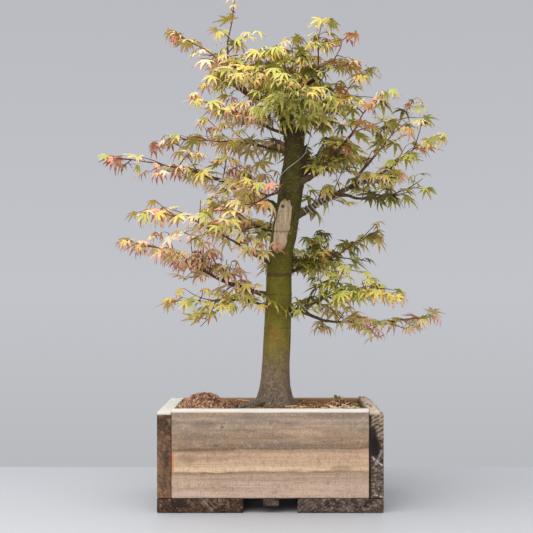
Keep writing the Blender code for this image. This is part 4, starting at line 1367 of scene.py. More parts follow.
class Limb:
    """A bough's middle line: an arch with a sideways wander."""

    def __init__(self, row, start):
        self.row = row
        self.start = start
        self.end = start + row.reach * heading(row.azimuth) + upward(row.rise)
        self.side = heading(row.azimuth + 90)
        self.phase = random.Random(row.name).uniform(0, 2 * pi)

    def point(self, share):
        arch = 4 * share * (1 - share)
        wander = BOUGH_CROOK * arch * sin(2 * pi * share + self.phase)
        lift = upward(self.row.bow * arch)
        place = self.start.lerp(self.end, share) + lift + wander * self.side
        return place + kink(place, arch, BOUGH_KINK)

    def heading(self, share, step=0.04):
        return (self.point(share) - self.point(share - step)).normalized()

    def radius(self, share, seat):
        taper = self.row.tip + (self.row.base - self.row.tip) * (1 - share) ** 0.9
        past_seat = max(share - seat, 0) * self.row.reach / (COLLAR_REACH * self.row.base)
        return taper * (1 + COLLAR_SWELL * exp(-past_seat**2))


class Stem:
    """The middle line of a mass of foliage, from its bough's tip on."""

    def __init__(self, row, limb):
        self.row = row
        self.base = limb.row.tip * STEM_FOOT
        leave = limb.heading(1)
        self.start = limb.end + GAP * leave
        self.turn = self.start + TIP_RUN * leave
        run = row.reach * heading(row.azimuth) + upward(row.rise)
        self.end = limb.end + run - LEAF_OVERHANG * run.normalized()
        self.length = (self.end - self.turn).length
        self.controls = (self.turn, self.turn + leave * self.length * STEM_LEAVES.get(row.bough, 0.33),
                         self.end - heading(row.azimuth, row.lift) * self.length * 0.33, self.end)

    def point(self, share):
        a, b, c, d = self.controls
        rest = 1 - share
        place = a * rest**3 + b * 3 * share * rest**2 + c * 3 * share**2 * rest + d * share**3
        return place + kink(place, sqrt(max(share * rest, 0)) * 2, STEM_KINK)

    def heading(self, share):
        return (self.point(min(share + 0.03, 1)) - self.point(max(share - 0.03, 0))).normalized()

    def radius(self, share):
        return STEM_TIP + (self.base - STEM_TIP) * (1 - share) ** STEM_TAPER


def make_limbs():
    limbs, seats = {}, {}
    for row in BOUGHS:
        if row.parent == "trunk":
            start, bearer = trunk_at(row.joint)
        else:
            start, bearer = limbs[row.parent].point(row.joint), limbs[row.parent].row.base
        limbs[row.name] = Limb(row, start)
        seats[row.name] = bearer / row.reach
    return limbs, seats


limbs, seats = make_limbs()
stems = {row.bough: Stem(row, limbs[row.bough]) for row in SPRAYS}
print(len(limbs), "boughs, and", round(sum(stem.length for stem in stems.values()), 2), "m of stems")

# %% [markdown]
# ## The skin of the boughs
# A curve with a round bevel would do for the shape, but not for the bark. So rings of points are set
# along each line, and their radius carries lumps, a swelling at every pair of buds and the collar at the
# joint. Bough and stem are one skin.

# %% Bough mesh
BOUGH_SIDES = 12
RING_STEP = 0.003
BUD_SPACING = 0.026
BUD_SWELL = 0.16


def square_to(direction, last):
    """Two axes square to a direction, turned little from the last first axis."""
    first = (last - last.dot(direction) * direction).normalized()
    return first, direction.cross(first)


def limb_rings(limb, seat, stem):
    line = [(limb.point(index / 60), limb.radius(index / 60, seat), 0) for index in range(61)]
    line += [(stem.point(index / 80), stem.radius(index / 80), index / 80) for index in range(1, 81)]
    kept = [line[0]]
    for station in line[1:]:
        if (station[0] - kept[-1][0]).length >= RING_STEP:
            kept.append(station)
    rings, first, travelled = [], upward(1), 0
    for index, (point, radius, share) in enumerate(kept):
        before, after = kept[max(index - 1, 0)][0], kept[min(index + 1, len(kept) - 1)][0]
        first, second = square_to((after - before).normalized(), first)
        travelled += (point - before).length
        bud = bell(travelled % BUD_SPACING - BUD_SPACING / 2, 0.0024)
        ring = []
        for side in range(BOUGH_SIDES):
            angle = 2 * pi * side / BOUGH_SIDES
            out = cos(angle) * first + sin(angle) * second
            place = point + radius * out
            swell = 1 + BUD_SWELL * bud + 0.1 * grain(place, 130) + 0.05 * grain(place, 420)
            ring.append(point + radius * swell * out)
            young.append(share)
        rings.append(ring)
    return rings


young = []  # how far out on its stem each point of the skin lies
boughs = join_rings("bough_bark", [limb_rings(limbs[name], seats[name], stems[name]) for name in limbs])
mark(boughs.data, "young_wood", "FLOAT", young)
hand_in(boughs, [row.name + "_bough" for row in BOUGHS], bough_finish())

# %% [markdown]
# ## One maple leaf
# The leaf has five or seven narrow lobes with long points, and droops like a half shut umbrella. An
# image on a card would be lighter, but it has no outline of its own. So each lobe is a few faces on each
# side of its vein, bent down along an arc, and each face knows whether it is heart, blade or tip.

# %% Leaf shapes
LeafForm = namedtuple("LeafForm", "lobes width arc fold")
SEVEN_LOBES = ((-128, 0.38), (-86, 0.72), (-43, 0.94), (0, 1), (43, 0.92), (86, 0.74), (128, 0.4))
FIVE_LOBES = ((-94, 0.7), (-47, 0.95), (0, 1), (47, 0.92), (94, 0.66))
NARROW_LOBES = ((-66, 0.62), (-32, 0.92), (0, 1), (32, 0.94), (66, 0.64))
LEAF_FORMS = (
    LeafForm(SEVEN_LOBES, 0.098, 0.5, 0.05),
    LeafForm(SEVEN_LOBES, 0.088, 0.9, -0.05),
    LeafForm(SEVEN_LOBES, 0.104, 1.35, 0.06),
    LeafForm(FIVE_LOBES, 0.102, 0.55, -0.06),
    LeafForm(FIVE_LOBES, 0.094, 1.1, 0.05),
    LeafForm(NARROW_LOBES, 0.084, 1, 0.08),
    LeafForm(NARROW_LOBES, 0.076, 1.7, -0.08),
)
NOTCH = 0.25
STALK_NOTCH = (158, 0.06)
SHOULDER, WAIST = 0.52, 0.8  # where a lobe is widest, and where its long point starts
HEART, BLADE, TIP = 0, 1, 2
LEAF_THICKNESS = 0.01


def arched(angle, reach, aside, form, depth=0):
    """A place on the leaf: along a lobe, aside from its vein, on a drooping arc."""
    turn = radians(angle)
    x = reach * cos(turn) - aside * sin(turn)
    y = reach * sin(turn) + aside * cos(turn)
    far = hypot(x, y)
    flat = sin(form.arc * far) / (form.arc * far) if far > 1e-6 else 1
    down = (1 - cos(form.arc * far)) / form.arc
    return (x * flat, y * flat, -down + form.fold * abs(aside) * 2 - depth)


def leaf_shape(index, form):
    points, faces, zones = [], [], []

    def add(*place):
        points.append(arched(*place[:3], form, *place[3:]))
        return len(points) - 1

    def add_faces(layer, sides, kinds):
        faces.extend([side[::-1] for side in sides] if layer else sides)
        zones.extend(kinds)

    hearts = [add(0, 0, 0), add(0, 0, 0, LEAF_THICKNESS)]
    lobes = form.lobes
    turns = [(-STALK_NOTCH[0], STALK_NOTCH[1])]
    turns += [((a[0] + b[0]) / 2, NOTCH * min(1, (a[1] + b[1]) / 1.5)) for a, b in zip(lobes, lobes[1:])]
    turns += [STALK_NOTCH]
    notches = [add(angle, reach, 0) for angle, reach in turns]
    for low, high, (angle, length) in zip(notches, notches[1:], lobes):
        tip = add(angle, length, 0)
        if length < 0.4:
            for layer, heart in enumerate(hearts):
                mid = add(angle, length * 0.5, 0, LEAF_THICKNESS * 0.6 * layer)
                add_faces(layer, ([heart, low, mid], [heart, mid, high], [mid, low, tip], [mid, tip, high]),
                          (HEART, HEART, BLADE, BLADE))
            continue
        width = form.width * (0.55 + 0.45 * length)
        shoulders = [add(angle, length * SHOULDER, side * width) for side in (-1, 1)]
        waists = [add(angle, length * WAIST, side * width * 0.42) for side in (-1, 1)]
        for layer, heart in enumerate(hearts):
            near = add(angle, length * SHOULDER, 0, LEAF_THICKNESS * 0.8 * layer)
            far = add(angle, length * WAIST, 0, LEAF_THICKNESS * 0.5 * layer)
            add_faces(layer, ([heart, low, shoulders[0], near], [heart, near, shoulders[1], high],
                              [near, shoulders[0], waists[0], far], [near, far, waists[1], shoulders[1]],
                              [far, waists[0], tip], [far, tip, waists[1]]),
                      (HEART, HEART, BLADE, BLADE, TIP, TIP))
    faces += [[notches[0], hearts[0], hearts[1]], [hearts[0], notches[-1], hearts[1]]]
    zones += [HEART, HEART]
    leaf = make_piece(f"leaf_{index:02d}", points, faces, smooth=False)
    mark(leaf.data, "zone", "INT", zones, "FACE")
    return leaf


leaf_shapes = [leaf_shape(index, form) for index, form in enumerate(LEAF_FORMS)]
print("leaf shapes of", [len(leaf.data.polygons) for leaf in leaf_shapes], "faces")
leaf_stock = stock("leaf shapes", leaf_shapes)

# %% [markdown]
# ## Spring tints
# In spring this maple runs from olive green to straw, blush and salmon on the outer sprays, with brick red
# on the youngest leaves; moss green is a darker copy of the greens, painted shade, dealt out among them.
# Each tint is a plain colour. A leaf gets three, for its heart, its blade and its tips, and its spray and
# its age decide which.

# %% Tints
TINT_COLOURS = {
    # moss is painted shade: a darker copy of the olive, for leaves in the crown's shade
    "moss": "#6c6e28", "olive": "#948e38", "lime": "#b6b454",
    "gold": "#d0bc5a", "straw": "#d7c382", "cream": "#e6d5b2",
    "blush": "#e8be9e", "salmon": "#da967c", "brick": "#ac5c48",
    "bronze": "#744834", "amber": "#ce9652", "russet": "#b06a40",
}
TINT_NAMES = list(TINT_COLOURS)
GROWN_TINTS = {
    "lime": "olive lime lime, lime lime gold, lime gold straw, moss olive lime, olive lime amber",
    "olive": "moss olive olive, olive olive lime, olive lime gold, moss olive amber, lime gold amber, "
             "olive lime russet",
    "rust": "olive lime amber, lime gold blush, olive gold salmon, moss olive amber, lime gold salmon, "
            "olive lime russet, lime straw blush",
    "straw": "olive gold straw, lime gold straw, gold straw blush, lime gold amber, gold straw cream, "
             "olive lime amber",
    "blush": "gold straw blush, straw cream blush, straw blush salmon, cream blush salmon, "
             "gold straw amber, lime straw blush, lime gold russet",
    "rose": "gold straw salmon, straw blush salmon, gold amber brick, lime gold salmon, "
            "straw cream salmon, cream blush salmon",
    "salmon": "straw blush salmon, cream blush salmon, cream blush brick, gold blush salmon, "
              "straw salmon salmon",
}
YOUNG_TINTS = {
    "lime": "lime gold salmon, gold amber brick, lime gold russet",
    "olive": "lime gold russet, gold amber salmon, gold amber brick",
    "rust": "gold straw russet, gold blush salmon, amber salmon brick, lime gold brick",
    "straw": "gold blush salmon, gold straw brick, straw salmon brick, gold amber russet",
    "blush": "straw salmon brick, blush salmon brick, gold salmon brick, salmon brick bronze",
    "rose": "straw salmon brick, gold salmon brick, salmon brick bronze, amber salmon brick",
    "salmon": "straw salmon brick, blush salmon brick, salmon brick bronze",
}
leaf_materials = [plain("leaf_" + name, colour, 0.52, 0.35) for name, colour in TINT_COLOURS.items()]


def tint_of(spray, age, draw):
    """The three tints of a leaf; age runs from 0, just open, to 1, full grown."""
    choices = (YOUNG_TINTS if draw.random() > age + 0.25 else GROWN_TINTS)[spray]
    return [TINT_NAMES.index(name) for name in draw.choice(choices.split(", ")).split()]

# %% [markdown]
# ## How the crown grows
# Every mass of foliage keeps to the space nearest its own stem, so the sprays don't grow through one
# another and the gaps between them stay open. Nor may a leaf or a twig touch a limb.

# %% Spaces
class Pieces:
    """Lines as short straight pieces, and how far points lie from each."""

    def __init__(self, lines):
        self.starts = np.array([start for line in lines for start in line[:-1]])
        self.runs = np.array([end for line in lines for end in line[1:]]) - self.starts

    def distances(self, points):
        offset = np.array([tuple(point) for point in points])[:, None, :] - self.starts[None, :, :]
        share = np.clip((offset * self.runs).sum(2) / (self.runs**2).sum(1), 0, 1)
        return np.linalg.norm(offset - share[:, :, None] * self.runs, axis=2)


class Spaces(Pieces):
    """Whether points are nearer their own stem than any other."""

    def __init__(self, stems):
        lines = []
        for name, stem in stems.items():
            line = [limbs[name].point(share) for share in (0.45, 0.7, 0.97)]
            lines.append(line + [stem.start] + [stem.point(index / 4) for index in range(5)])
        super().__init__(lines)
        self.owners = np.repeat(list(stems), len(lines[0]) - 1)

    def holds(self, name, points):
        distance = self.distances(points)
        own = distance[:, self.owners == name].min(1)
        return bool((own < distance[:, self.owners != name].min(1)).all())


class Limbs(Pieces):
    """Whether points keep clear of the trunk and the boughs."""

    def __init__(self):
        heights = np.linspace(TRUNK_FOOT, TRUNK[-1].height, 60)
        lines = [[trunk_at(height) for height in heights]]
        for limb in limbs.values():
            lines.append([(limb.point(index / 12), limb.radius(index / 12, 0)) for index in range(13)])
        super().__init__([[place for place, _ in line] for line in lines])
        self.radii = np.array([radius for line in lines for _, radius in line[:-1]])

    def clear_of(self, points, margin):
        return bool((self.distances(points) > self.radii + margin).all())


spaces = Spaces(stems)
all_limbs = Limbs()

# %% [markdown]
# ## Shoots, stalks and leaves
# A maple's buds sit in pairs, and each opens into a leaf on a thin stalk or a twig of its own. Scattering
# leaves through the space would be quicker, but they would hang on nothing. So shoots grow from each stem
# by seeded rules, and what would leave its space or touch a limb isn't grown.

# %% Shoots, stalks and leaves
LEAF_REACH = 0.041
LEAF_SIZES = (0.78, 1.26)
YOUNG_SIZE = 0.56
STALK_REACH = 0.019
STALK_RADIUS = 0.00055
SHOOT_RADII = (0.00125, 0.00065)
TWIG_REACH = 0.08
TWIG_SHORTER = 0.5
TWIG_ANGLE = (42, 66)
TWIG_LIFT = (-22, 30)
SLOPE_KEPT = 0.45
STEEP = 0.85
FIRST_PAIR, PAIR_REST = 0.3, 0.15
TRIES = 6
TRY_SHRINK = 0.9
NODE_SPACING = (0.026, 0.038)
SIDE_TWIG_CHANCE = 0.22
INNER_REACH = (0.03, 0.064)
# more shoots: how many, from where to where (above 1 is on the stem), how long, which way and how steep
RISING = read_table("bough count first last shortest longest azimuth spread low high", """
leader 7 .9 1.45 .05 .086 0 50 24 52
top_mid 8 .3 1.3 .07 .11 60 90 52 84
top_right 6 .3 1.4 .05 .09 180 80 36 66
back_upper 9 .4 1.7 .07 .115 180 90 52 84
front_upper 5 .6 1.6 .06 .09 180 90 52 84
shoulder 4 .3 1.1 .05 .09 90 90 52 84
right_upper 4 .4 1 .06 .1 90 90 52 84
left_low 9 .84 1.36 .036 .062 0 180 52 84
back_mid 6 .3 1.4 .03 .06 0 180 52 84
left_upper 4 .4 1.2 .034 .06 0 90 52 84
left_long 7 .5 1.45 .03 .052 0 180 52 84
front_low 5 .7 1.6 .03 .05 180 90 52 84
right_mid 9 .16 1.3 .04 .074 0 180 52 84
right_mid_low 5 .12 1.95 .028 .046 0 180 52 84
right_long 6 .18 .8 .028 .05 0 180 52 84
""")
# where the crown is open, the side shoots are this much shorter
SHORT_TWIGS = {"leader": 0.3, "top_left": 0.34, "top_rise": 0.32, "right_rise": 0.62, "left_upper": 0.6,
               "top_right": 0.6, "right_long_low": 0.75}
UNDERSIDE = 0.025  # the grower keeps the underside of a bough clean: no blade hangs further below its line
DENSE_UNDERSIDE = 0.055
DENSE = ("leader", "top_mid", "front_upper", "back_upper", "left_high")  # but the head of the crown is dense
LIFTS = 4
TIP_SHOOT = (0.017, 0.027)
BARE_TRUNK = (0.556, 0.672, 0.034)  # between these heights, and this near its line, no leaf hides the trunk
BLADE_BEND = (10, 68)
BLADE_ASIDE = 32
BLADE_STEEPEST = -80
BLADE_ROLL = 34
OUTSIDE = 0.006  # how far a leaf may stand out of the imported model's box
SHRINKS, LEAF_SHRINK = 4, 0.84  # a leaf that would stand out further is made smaller a few times
LOBE_TIPS = [[Vector(arched(angle, length, 0, form)) for angle, length in form.lobes] for form in LEAF_FORMS]
Leaf = namedtuple("Leaf", "place turn size form tints")
BARK_BROWN, YOUNG_RED, YOUNG_GREEN = 0, 1, 2
RED_FROM = TINT_NAMES.index("cream")  # the tints after this one are red ones


def angles(direction):
    """Azimuth and elevation of a direction, in degrees."""
    return degrees(atan2(direction.y, direction.x)), degrees(asin(max(-1, min(1, direction.z))))


def turned(direction, angle, lift):
    """A direction turned sideways, with part of its slope kept and a lift added."""
    flat, slope = angles(direction)
    return heading(flat + angle, slope * SLOPE_KEPT + lift)


def sideways(direction, side, angle, lift):
    """A direction to one side; a steep stem sends its twigs all round."""
    if abs(direction.z) > STEEP:
        return heading(side * 90 + angle * 3, 18 + lift)
    return turned(direction, side * angle, lift)


def hanging(stalk, draw):
    """A blade's direction, bent down from its stalk's; bent far, it turns aside less."""
    aside, bend = draw.uniform(-BLADE_ASIDE, BLADE_ASIDE), draw.uniform(*BLADE_BEND)
    flat, slope = angles(stalk)
    return heading(flat + aside * cos(radians(bend)), max(slope - bend, BLADE_STEEPEST))


class Mass:
    """One mass of foliage: lines of shoots and stalks, and places of leaves."""

    def __init__(self, row, stem):
        self.row, self.stem, self.name = row, stem, row.bough
        self.shoots, self.stalks, self.leaves = [], [], []
        limb = limbs[self.name]
        self.line = [limb.point(share) for share in (0, 0.25, 0.5, 0.75, 1)]
        self.line += [stem.point(index / 10) for index in range(1, 11)]

    def inside(self, points):
        return all(CAD_BOX[0][axis] - OUTSIDE < point[axis] < CAD_BOX[1][axis] + OUTSIDE
                   for point in points for axis in range(3))

    def hangs_low(self, place):
        """Whether the tip of a blade would hang under the clean underside."""
        nearest = min(self.line, key=lambda point: (point - place).length)
        return place.z < nearest.z - (DENSE_UNDERSIDE if self.name in DENSE else UNDERSIDE)

    def hides_trunk(self, place):
        """Whether a leaf would hang before the clear stretch of trunk."""
        low, high, near = BARE_TRUNK
        if not low < place.z < high or place.y > 0:
            return False
        return abs(place.x - trunk_at(place.z)[0].x) < near

    def add_leaf(self, root, direction, age, draw, spread=16, kept=False):
        """A leaf on its stalk, if there is room; one that isn't kept may be left out."""
        size = draw.uniform(*LEAF_SIZES) * (YOUNG_SIZE + (1 - YOUNG_SIZE) * age)
        stalk = turned(direction, draw.uniform(-spread, spread), draw.uniform(-4, 26))
        length = STALK_REACH * size * draw.uniform(0.7, 1.35)
        blade = hanging(stalk, draw)
        roll = radians(draw.uniform(-BLADE_ROLL, BLADE_ROLL))
        form = draw.randrange(len(LEAF_FORMS)) if age > 0.3 else len(LEAF_FORMS) - 1 - draw.randrange(3)
        tints = tint_of(self.row.tint, age, draw)
        far = min((root - self.stem.start).length / self.stem.length, 1)
        if draw.random() > 1 + (self.row.fill - 1) * far and not kept:
            return
        middle = root + stalk * length * 0.55 + upward(0.06 * length)
        end = root + stalk * length - upward(0.1 * length)
        reach = LEAF_REACH * size
        for attempt in range(LIFTS):
            if not self.hangs_low(end + blade * reach * 0.92):
                break
            blade = (blade + upward(0.35)).normalized()
        else:
            return
        far = end + blade * reach * 0.92
        if not (spaces.holds(self.name, (end, end + blade * reach * 0.4))
                and all_limbs.clear_of((end, end + blade * reach * 0.5, far), 0.0015)):
            return
        if self.hides_trunk(end + blade * reach * 0.5):
            return
        flank = (Matrix.Rotation(roll, 3, blade) @ upward(1)).cross(blade).normalized()
        axes = Matrix((blade, flank, blade.cross(flank))).transposed()
        for attempt in range(SHRINKS):
            if self.inside([end + axes @ tip * reach for tip in LOBE_TIPS[form]]):
                break
            reach *= LEAF_SHRINK
        else:
            return
        turn = axes.to_euler()
        self.stalks.append(((root, middle, end), (STALK_RADIUS * 1.25, STALK_RADIUS, STALK_RADIUS * 0.8),
                            YOUNG_RED if tints[2] > RED_FROM else YOUNG_GREEN))
        self.leaves.append(Leaf(end, turn, reach, form, tints))

    def shoot_line(self, start, direction, length, draw):
        """A shoot wanders a little and turns up or hangs towards its tip."""
        steps = max(3, round(length / 0.007))
        rise = draw.uniform(-0.55, 0.35)
        points = [start]
        for index in range(steps):
            wander = Vector([draw.uniform(-0.1, 0.1) for _ in range(3)])
            direction = (direction + wander + upward(rise / steps)).normalized()
            points.append(points[-1] + direction * length / steps)
        return points

    def grow_shoot(self, start, direction, length, radii, age, draw, finer=True, kept=False):
        """A shoot with leaves or finer twigs at its buds, and young leaves at its tip."""
        points = self.shoot_line(start, direction, length, draw)
        if not (spaces.holds(self.name, points[2:]) and all_limbs.clear_of(points[3:], 0.001)
                and self.inside(points)):
            return False
        borne = len(self.leaves), len(self.shoots)
        count = len(points) - 1
        thickness = [radii[0] + (radii[1] - radii[0]) * index / count for index in range(count + 1)]
        self.shoots.append((points, thickness, BARK_BROWN if age > 0.6 else YOUNG_RED))
        travelled = draw.uniform(0.35, 0.75) * NODE_SPACING[0]
        upright = draw.random() < 0.35
        while travelled < length - 0.007:
            share = travelled / length
            place = min(int(share * count), count - 1)
            here = points[place].lerp(points[place + 1], share * count - place)
            ahead = (points[place + 1] - points[place]).normalized()
            grown = age * (1 - 0.55 * share)
            if finer and share < 0.72 and draw.random() < SIDE_TWIG_CHANCE:
                side = draw.choice((-1, 1))
                self.grow_shoot(here, turned(ahead, side * draw.uniform(38, 60), draw.uniform(-12, 26)),
                                draw.uniform(0.02, 0.036), (radii[1], radii[1] * 0.8), grown, draw, False)
                self.add_leaf(here, turned(ahead, -side * draw.uniform(45, 75), 4), grown, draw)
            else:
                for side in (-1, 1):
                    angle = draw.uniform(10, 30) if upright else draw.uniform(40, 72)
                    lift = side * draw.uniform(24, 46) if upright else draw.uniform(-8, 20)
                    self.add_leaf(here, turned(ahead, side * angle, lift), grown, draw, kept=kept)
            upright = not upright and draw.random() < 0.6
            travelled += draw.uniform(*NODE_SPACING)
        for angle in (-38, 38) if draw.random() < 0.6 else (-52, 0, 52):
            last = points[-1] - points[-2]
            self.add_leaf(points[-1], turned(last.normalized(), angle, 0), age * 0.3, draw, kept=kept)
        if len(self.leaves) == borne[0]:
            del self.shoots[borne[1]:]
        return True

    def try_shoot(self, start, propose, age, draw):
        """Propose a shoot's direction and length, shorter each time, until one finds room."""
        for attempt in range(TRIES):
            shoot, length = propose()
            if self.grow_shoot(start, shoot, length * TRY_SHRINK**attempt, SHOOT_RADII, age, draw):
                return

    def grow_inner(self, limb, seat):
        """Short shoots on the bough itself."""
        first = seat + 0.07
        for number in range(self.row.inner):
            draw = random.Random(f"{self.name} inner {number}")
            share = first + (0.97 - first) * (number + draw.random()) / self.row.inner
            side = -1 if number % 2 else 1
            self.try_shoot(limb.point(share), lambda: (
                sideways(limb.heading(share), side, draw.uniform(36, 84), draw.uniform(-24, 56)),
                draw.uniform(*INNER_REACH)), 0.95, draw)

    def grow_rising(self, limb, rise):
        """More shoots, which close the top of the crown and stand on the boughs."""
        for number in range(rise.count):
            draw = random.Random(f"{self.name} rising {number}")
            share = rise.first + (rise.last - rise.first) * (number + draw.random()) / rise.count
            start = limb.point(share) if share < 1 else self.stem.point(share - 1)
            self.try_shoot(start, lambda: (
                heading(rise.azimuth + draw.uniform(-rise.spread, rise.spread),
                        draw.uniform(rise.low, rise.high)),
                draw.uniform(rise.shortest, rise.longest)), 0.9, draw)

    def side_twig(self, share, side, draw):
        length = TWIG_REACH * (1 - TWIG_SHORTER * share) * draw.uniform(0.85, 1.15)
        twig = sideways(self.stem.heading(share), side, draw.uniform(*TWIG_ANGLE), draw.uniform(*TWIG_LIFT))
        return twig, length * SHORT_TWIGS.get(self.name, 1)

    def grow(self):
        """Pairs of side shoots as on the solid, leaves between them, and a leafy tip."""
        row, stem = self.row, self.stem
        for pair in range(row.pairs):
            share = (pair + FIRST_PAIR) / (row.pairs + PAIR_REST)
            for side in (-1, 1):
                draw = random.Random(f"{row.bough} {pair} {side}")
                self.try_shoot(stem.point(share), lambda: self.side_twig(share, side, draw),
                               1 - 0.5 * share, draw)
            between = share + 0.5 / (row.pairs + PAIR_REST)
            draw = random.Random(f"{row.bough} {pair} between")
            for side in (-1, 1):
                leaf = sideways(stem.heading(between), side, draw.uniform(36, 74), draw.uniform(-12, 40))
                self.add_leaf(stem.point(between), leaf, 1 - 0.55 * between, draw)
        draw = random.Random(f"{row.bough} tip")
        for angle in (-58, 58):
            self.add_leaf(stem.point(0.97), turned(stem.heading(0.97), angle, 0), 0.45, draw, kept=True)
        self.grow_shoot(stem.point(1), stem.heading(1), draw.uniform(*TIP_SHOOT),
                        (STEM_TIP, SHOOT_RADII[1]), 0.45, draw, False, True)


masses = {row.bough: Mass(row, stems[row.bough]) for row in SPRAYS}
for name, mass in masses.items():
    mass.grow()
    mass.grow_inner(limbs[name], seats[name])
    for rise in RISING:
        if rise.bough == name:
            mass.grow_rising(limbs[name], rise)
print({name: len(mass.leaves) for name, mass in masses.items()})
print(sum(len(mass.leaves) for mass in masses.values()), "leaves")

# %% [markdown]
# ## Twigs and leaf stalks
# Shoots and stalks are lines with a thickness at each point. One tree sweeps a small circle along every
# line, scaled by the thickness, into a closed tube. The number stored on a line picks its colour: brown
# bark, or the red or green of new wood.

# %% Tubes
def tube_tree(materials):
    maker = Maker("sweep tubes")
    curve = maker.node("MeshToCurve", "Curve", {"Mesh": maker.geometry})
    circle = maker.node("CurvePrimitiveCircle", "Curve", {
        "Resolution": maker.ask("Sides", "Int"), "Radius": 1})
    swept = maker.node("CurveToMesh", "Mesh", {
        "Curve": curve, "Profile Curve": circle, "Scale": maker.stored("thickness", "FLOAT"),
        "Fill Caps": True})
    solid = maker.node("RealizeInstances", "Geometry", {"Geometry": swept})
    return maker.close(maker.set_materials(solid, maker.stored("tint", "INT"), materials))


def lines_mesh(name, lines):
    points, edges, thickness, tint = [], [], [], []
    for line, radii, number in lines:
        edges += [(len(points) + index, len(points) + index + 1) for index in range(len(line) - 1)]
        points += [tuple(point) for point in line]
        thickness += list(radii)
        tint += [number] * len(line)
    mesh = bpy.data.meshes.new(name)
    mesh.from_pydata(points, edges, [])
    mark(mesh, "thickness", "FLOAT", thickness)
    mark(mesh, "tint", "INT", tint)
    return mesh


def clean_marks(mesh, names):
    for name in names:
        if name in mesh.attributes:
            mesh.attributes.remove(mesh.attributes[name])


def make_tubes(name, lines, sides, materials):
    item = grow(tube_tree(materials), name, lines_mesh(name, lines), {"Sides": sides}, materials)
    clean_marks(item.data, ("thickness", "tint"))
    return item


wood_tints = [plain("brown_twig", "#684a3a", 0.7), plain("red_twig", "#8c5240", 0.6),
              plain("green_twig", "#98924a", 0.6)]
shoots = [line for mass in masses.values() for line in mass.shoots]
stalks = [line for mass in masses.values() for line in mass.stalks]
hand_in(make_tubes("twigs", shoots, 5, wood_tints))
hand_in(make_tubes("leaf_stalks", stalks, 3, wood_tints))

# %% [markdown]
# ## Training wire
# Soft wire is wound round two boughs on the right to hold their bend, and a strand is slung from the
# trunk to the shoulder. A coil is a helix about the bough's own line, a little wider than its skin, so it
# needs no drawing by hand, and the same tree sweeps it into a tube.

# %% Training wire
Coil = namedtuple("Coil", "limb first last turns")
COILS = (Coil("right_long", 0.22, 0.6, 8), Coil("right_long", 0.9, 0.99, 3),
         Coil("right_mid_low", 0.24, 0.62, 6))
WIRE_RADIUS = 0.00095
WIRE_LIFT = 1.18  # the coil's width to the bough's, over bark and buds
COIL_STEPS = 18
SLING = ((-20, 0.614), (40, 0.6145), (110, 0.615), (170, 0.6165), (195, 0.619), (240, 0.635),
         (290, 0.653), (335, 0.67))  # azimuth round the trunk and height
SHOULDER_TURN = Coil("shoulder", 0.62, 0.653333, 1.111111)


def coil_points(coil, seat, lift, phase=0):
    limb, steps = limbs[coil.limb], round(coil.turns * COIL_STEPS)
    points = []
    for index in range(steps + 1):
        share = coil.first + (coil.last - coil.first) * index / steps
        first, second = square_to(limb.heading(share), upward(1))
        angle = 2 * pi * index / COIL_STEPS - phase
        reach = limb.radius(share, seat) * WIRE_LIFT + WIRE_RADIUS * lift
        points.append(limb.point(share) + reach * (cos(angle) * first + sin(angle) * second))
    return points


def sling_points():
    """Round the back of the trunk, up across its front, and on to the shoulder."""
    points = []
    for index in range(61):
        azimuth, height = along(SLING, index / 60).tolist()
        middle, radius = trunk_at(height)
        points.append(middle + (radius + 0.0022) * heading(azimuth))
    ring = coil_points(SHOULDER_TURN, 0, 1, 2.2)
    return points + [points[-1].lerp(ring[0], 0.5) + Vector((0.002, -0.002, 0))] + ring


wires = [coil_points(coil, seats[coil.limb], 0.6) for coil in COILS] + [sling_points()]
wire = make_tubes("training_wire", [(line, [WIRE_RADIUS] * len(line), 0) for line in wires], 6,
                  [plain("training_wire", "#c4c2bc", 0.42, 0.5, 0.55)])
hand_in(wire)

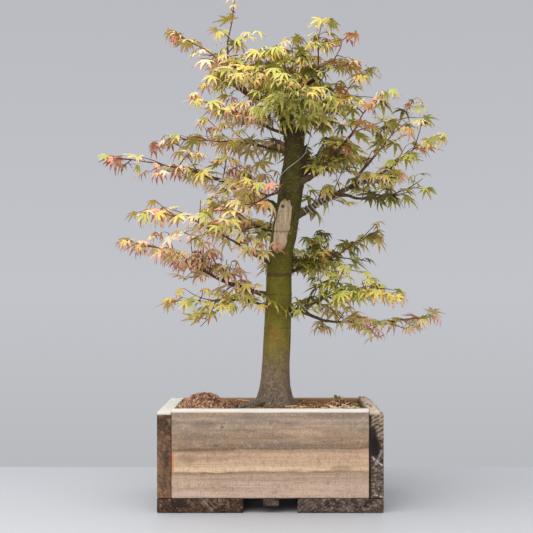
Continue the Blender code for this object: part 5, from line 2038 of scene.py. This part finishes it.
# %% [markdown]
# ## The leaves
# Each leaf is a point with a turn, a size, a shape number and three tints. The tree sets the shape on
# the point, makes it real, and gives every face the tint of its zone. The leaves are joined into a piece
# for each side of the crown, which stands for the masses that it grew from.

# %% Leaves
LEAF_ZONES = ("heart", "blade", "tip")


def leaf_tree(materials):
    maker = Maker("set leaves")
    solid = maker.set_shapes(maker.geometry, maker.stored("form", "INT"),
                             maker.stored("turn", "FLOAT_VECTOR"), maker.stored("size", "FLOAT"))
    switch = maker.tree.nodes.new("GeometryNodeIndexSwitch")
    switch.data_type = "INT"
    switch.index_switch_items.new()
    for key, name in zip(("Index", "0", "1", "2"), ("zone", *LEAF_ZONES)):
        plug(maker.tree, maker.stored(name, "INT"), switch.inputs[key])
    return maker.close(maker.set_materials(solid, switch.outputs[0], materials))


def leaf_points(name, leaves):
    mesh = bpy.data.meshes.new(name)
    mesh.from_pydata([tuple(leaf.place) for leaf in leaves], [], [])
    mark(mesh, "turn", "FLOAT_VECTOR", [tuple(leaf.turn) for leaf in leaves])
    mark(mesh, "size", "FLOAT", [leaf.size for leaf in leaves])
    mark(mesh, "form", "INT", [leaf.form for leaf in leaves])
    for number, zone in enumerate(LEAF_ZONES):
        mark(mesh, zone, "INT", [leaf.tints[number] for leaf in leaves])
    return mesh


LEAF_PIECES = {
    "left_foliage": ("blush", "left_long left_high left_upper left_mid left_low left_lowest"),
    "top_foliage": ("straw", "leader top_left top_mid top_right top_rise shoulder"),
    "right_foliage": ("olive", "right_upper right_long right_rise right_long_low"),
    "low_right_foliage": ("lime", "right_mid right_mid_low right_lowest"),
    "front_foliage": ("rose", "front_upper front_low"),
    "back_foliage": ("olive", "back_upper back_mid back_left back_right"),
}
tree = leaf_tree(leaf_materials)
for name, (slot, names) in LEAF_PIECES.items():
    leaves = [leaf for mass in names.split() for leaf in masses[mass].leaves]
    piece = grow(tree, name, leaf_points(name, leaves), {"Shapes": leaf_stock}, leaf_materials)
    clean_marks(piece.data, ("turn", "size", "form", "zone", *LEAF_ZONES))
    hand_in(piece, [mass + "_leaves" for mass in names.split()])
drop_stock(leaf_stock)
